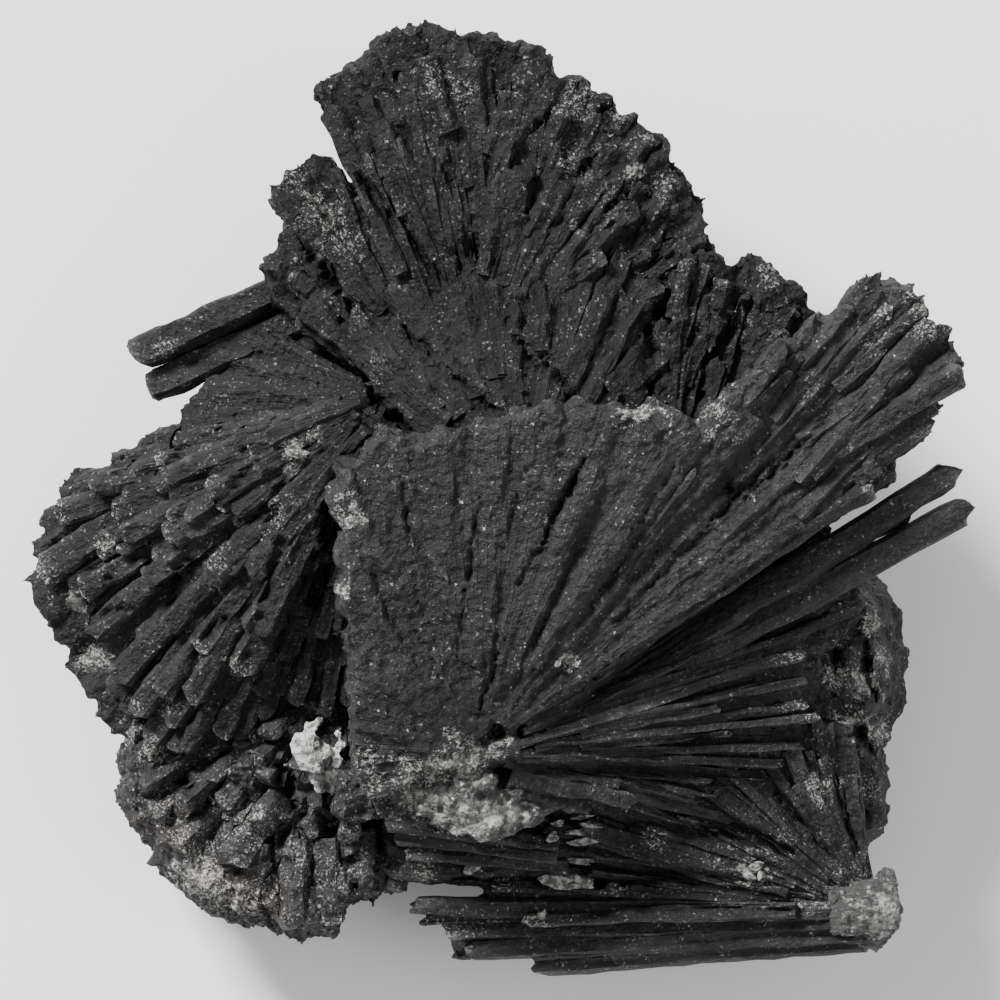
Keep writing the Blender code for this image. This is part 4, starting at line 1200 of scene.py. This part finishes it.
rng = random.Random(23)
leaves = [model_leaf(seed) for seed in range(3)]
laid = []
for carrier, x, y, length, width, turn, count in FLAKES:
    tree = BVHTree.FromObject(carrier, bpy.context.evaluated_depsgraph_get())
    levels = []
    for step_x, step_y in ((0.0, 0.0), (0.3, 0.0), (-0.3, 0.0), (0.0, 0.3), (0.0, -0.3)):
        above = Vector((x + step_x * length, y + step_y * width, 60.0)) + VIEW_SHIFT
        found = tree.ray_cast(above * MM, Vector((0.0, 0.0, -1.0)))
        if found[0] is not None:
            levels.append(found[0].z / MM)
    level = sorted(levels)[-2] + 0.15
    for number in range(count):
        copy = bpy.data.objects.new("leaf", rng.choice(leaves).data.copy())
        scene.collection.objects.link(copy)
        shrink = 1.0 - 0.16 * number
        place = Vector((x + rng.uniform(-0.1, 0.1) * length, y + rng.uniform(-0.12, 0.12) * width,
                        level + LEAF_STEP * number)) + VIEW_SHIFT
        copy.data.transform(
            Matrix.Scale(MM, 4) @ Matrix.Translation(place)
            @ Matrix.Rotation(math.radians(turn + rng.uniform(-8, 8)), 4, "Z")
            @ Matrix.Rotation(math.radians(rng.uniform(-9, 9)), 4, "X")
            @ Matrix.Rotation(math.radians(rng.uniform(-7, 7)), 4, "Y")
            @ Matrix.Diagonal((length * shrink, width * shrink, LEAF_THICKNESS, 1.0)))
        laid.append(copy)
flakes = join(laid[0], laid[1:])
flakes.name = "mica_flakes"
flakes.data.name = "mica_flakes"
bpy.ops.object.shade_smooth_by_angle(angle=math.radians(20))
flake_board = Board("mica_flake_material")
flake_spot = flake_board.place()
flake_cloud = flake_board.noise(flake_spot, 1.6, detail=3.0, rough=0.7)
flake_colour = flake_board.mix(flake_board.ramp(flake_cloud, 0.42, 0.62), (0.055, 0.054, 0.051),
                               (0.32, 0.315, 0.30))
flake_board.feed(flake_board.shader.inputs["Base Color"], flake_colour)
flake_board.feed(flake_board.shader.inputs["Roughness"], 0.5 - flake_cloud * 0.25)
flake_board.feed(flake_board.shader.inputs["Normal"], flake_board.node(
    "Bump", {}, {"Strength": 0.8, "Distance": 0.0005, "Height": flake_cloud}))
flakes.data.materials.clear()
flakes.data.materials.append(flake_board.material)
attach(flakes, "root")
for pattern in lumps_of_mica + leaves:
    bpy.data.objects.remove(pattern)


# Hidden side
# Four tiers of blunt kyanite blades round the middle that carry the fans. The lowest is broken
# off flat where the cluster rests. The photograph doesn't show this side.
MIDDLE = Vector((0.0, -3.0, 0.0))
# Direction in degrees and reach in millimetres.
TIER_REACH = [
    (0, 33.0), (30, 35.0), (60, 31.0), (90, 42.0), (100, 43.0), (106, 38.0), (112, 34.5),
    (135, 33.0), (150, 33.0), (165, 34.0), (180, 39.0), (203, 37.5), (225, 38.5), (246, 36.5),
    (257, 34.5), (266, 36.0), (274, 40.0), (300, 43.0), (308, 50.0), (318, 51.0), (328, 41.0),
    (342, 36.0), (360, 33.0),
]
hidden_kyanite = kyanite_material("hidden_kyanite", MIDDLE, 90.0, dust_and_painted_light=0.8, flecks_and_glints=0.4, streaks=0.6)
rng = random.Random(17)
tiers = []
for level, share, depth, rise in ((17.0, 0.96, 7.0, -3.0), (13.0, 0.92, 7.0, -3.0),
                                  (8.0, 0.78, 8.0, -2.0), (3.5, 0.74, 8.0, -1.0)):
    rows = [(direction, reach * share, level + rise) for direction, reach in TIER_REACH]
    middle = MIDDLE + Vector((0.0, 0.0, level + 3.0))
    tiers += grow_layer(rng, middle, rows, 34, depth, starts=(0.12, 0.3),
                        ends=(0.86, 1.0), unevenness=1.6, roll=16.0)
hidden_side = fuse("hidden_side", tiers, 0.68)
score(hidden_side, MIDDLE, 4.0, 0.6, 9)
weather(hidden_side, 0.6, 1.6, 0.3, 0.9)
finish_kyanite(hidden_side, hidden_kyanite)

for pattern in blades:
    bpy.data.objects.remove(pattern)
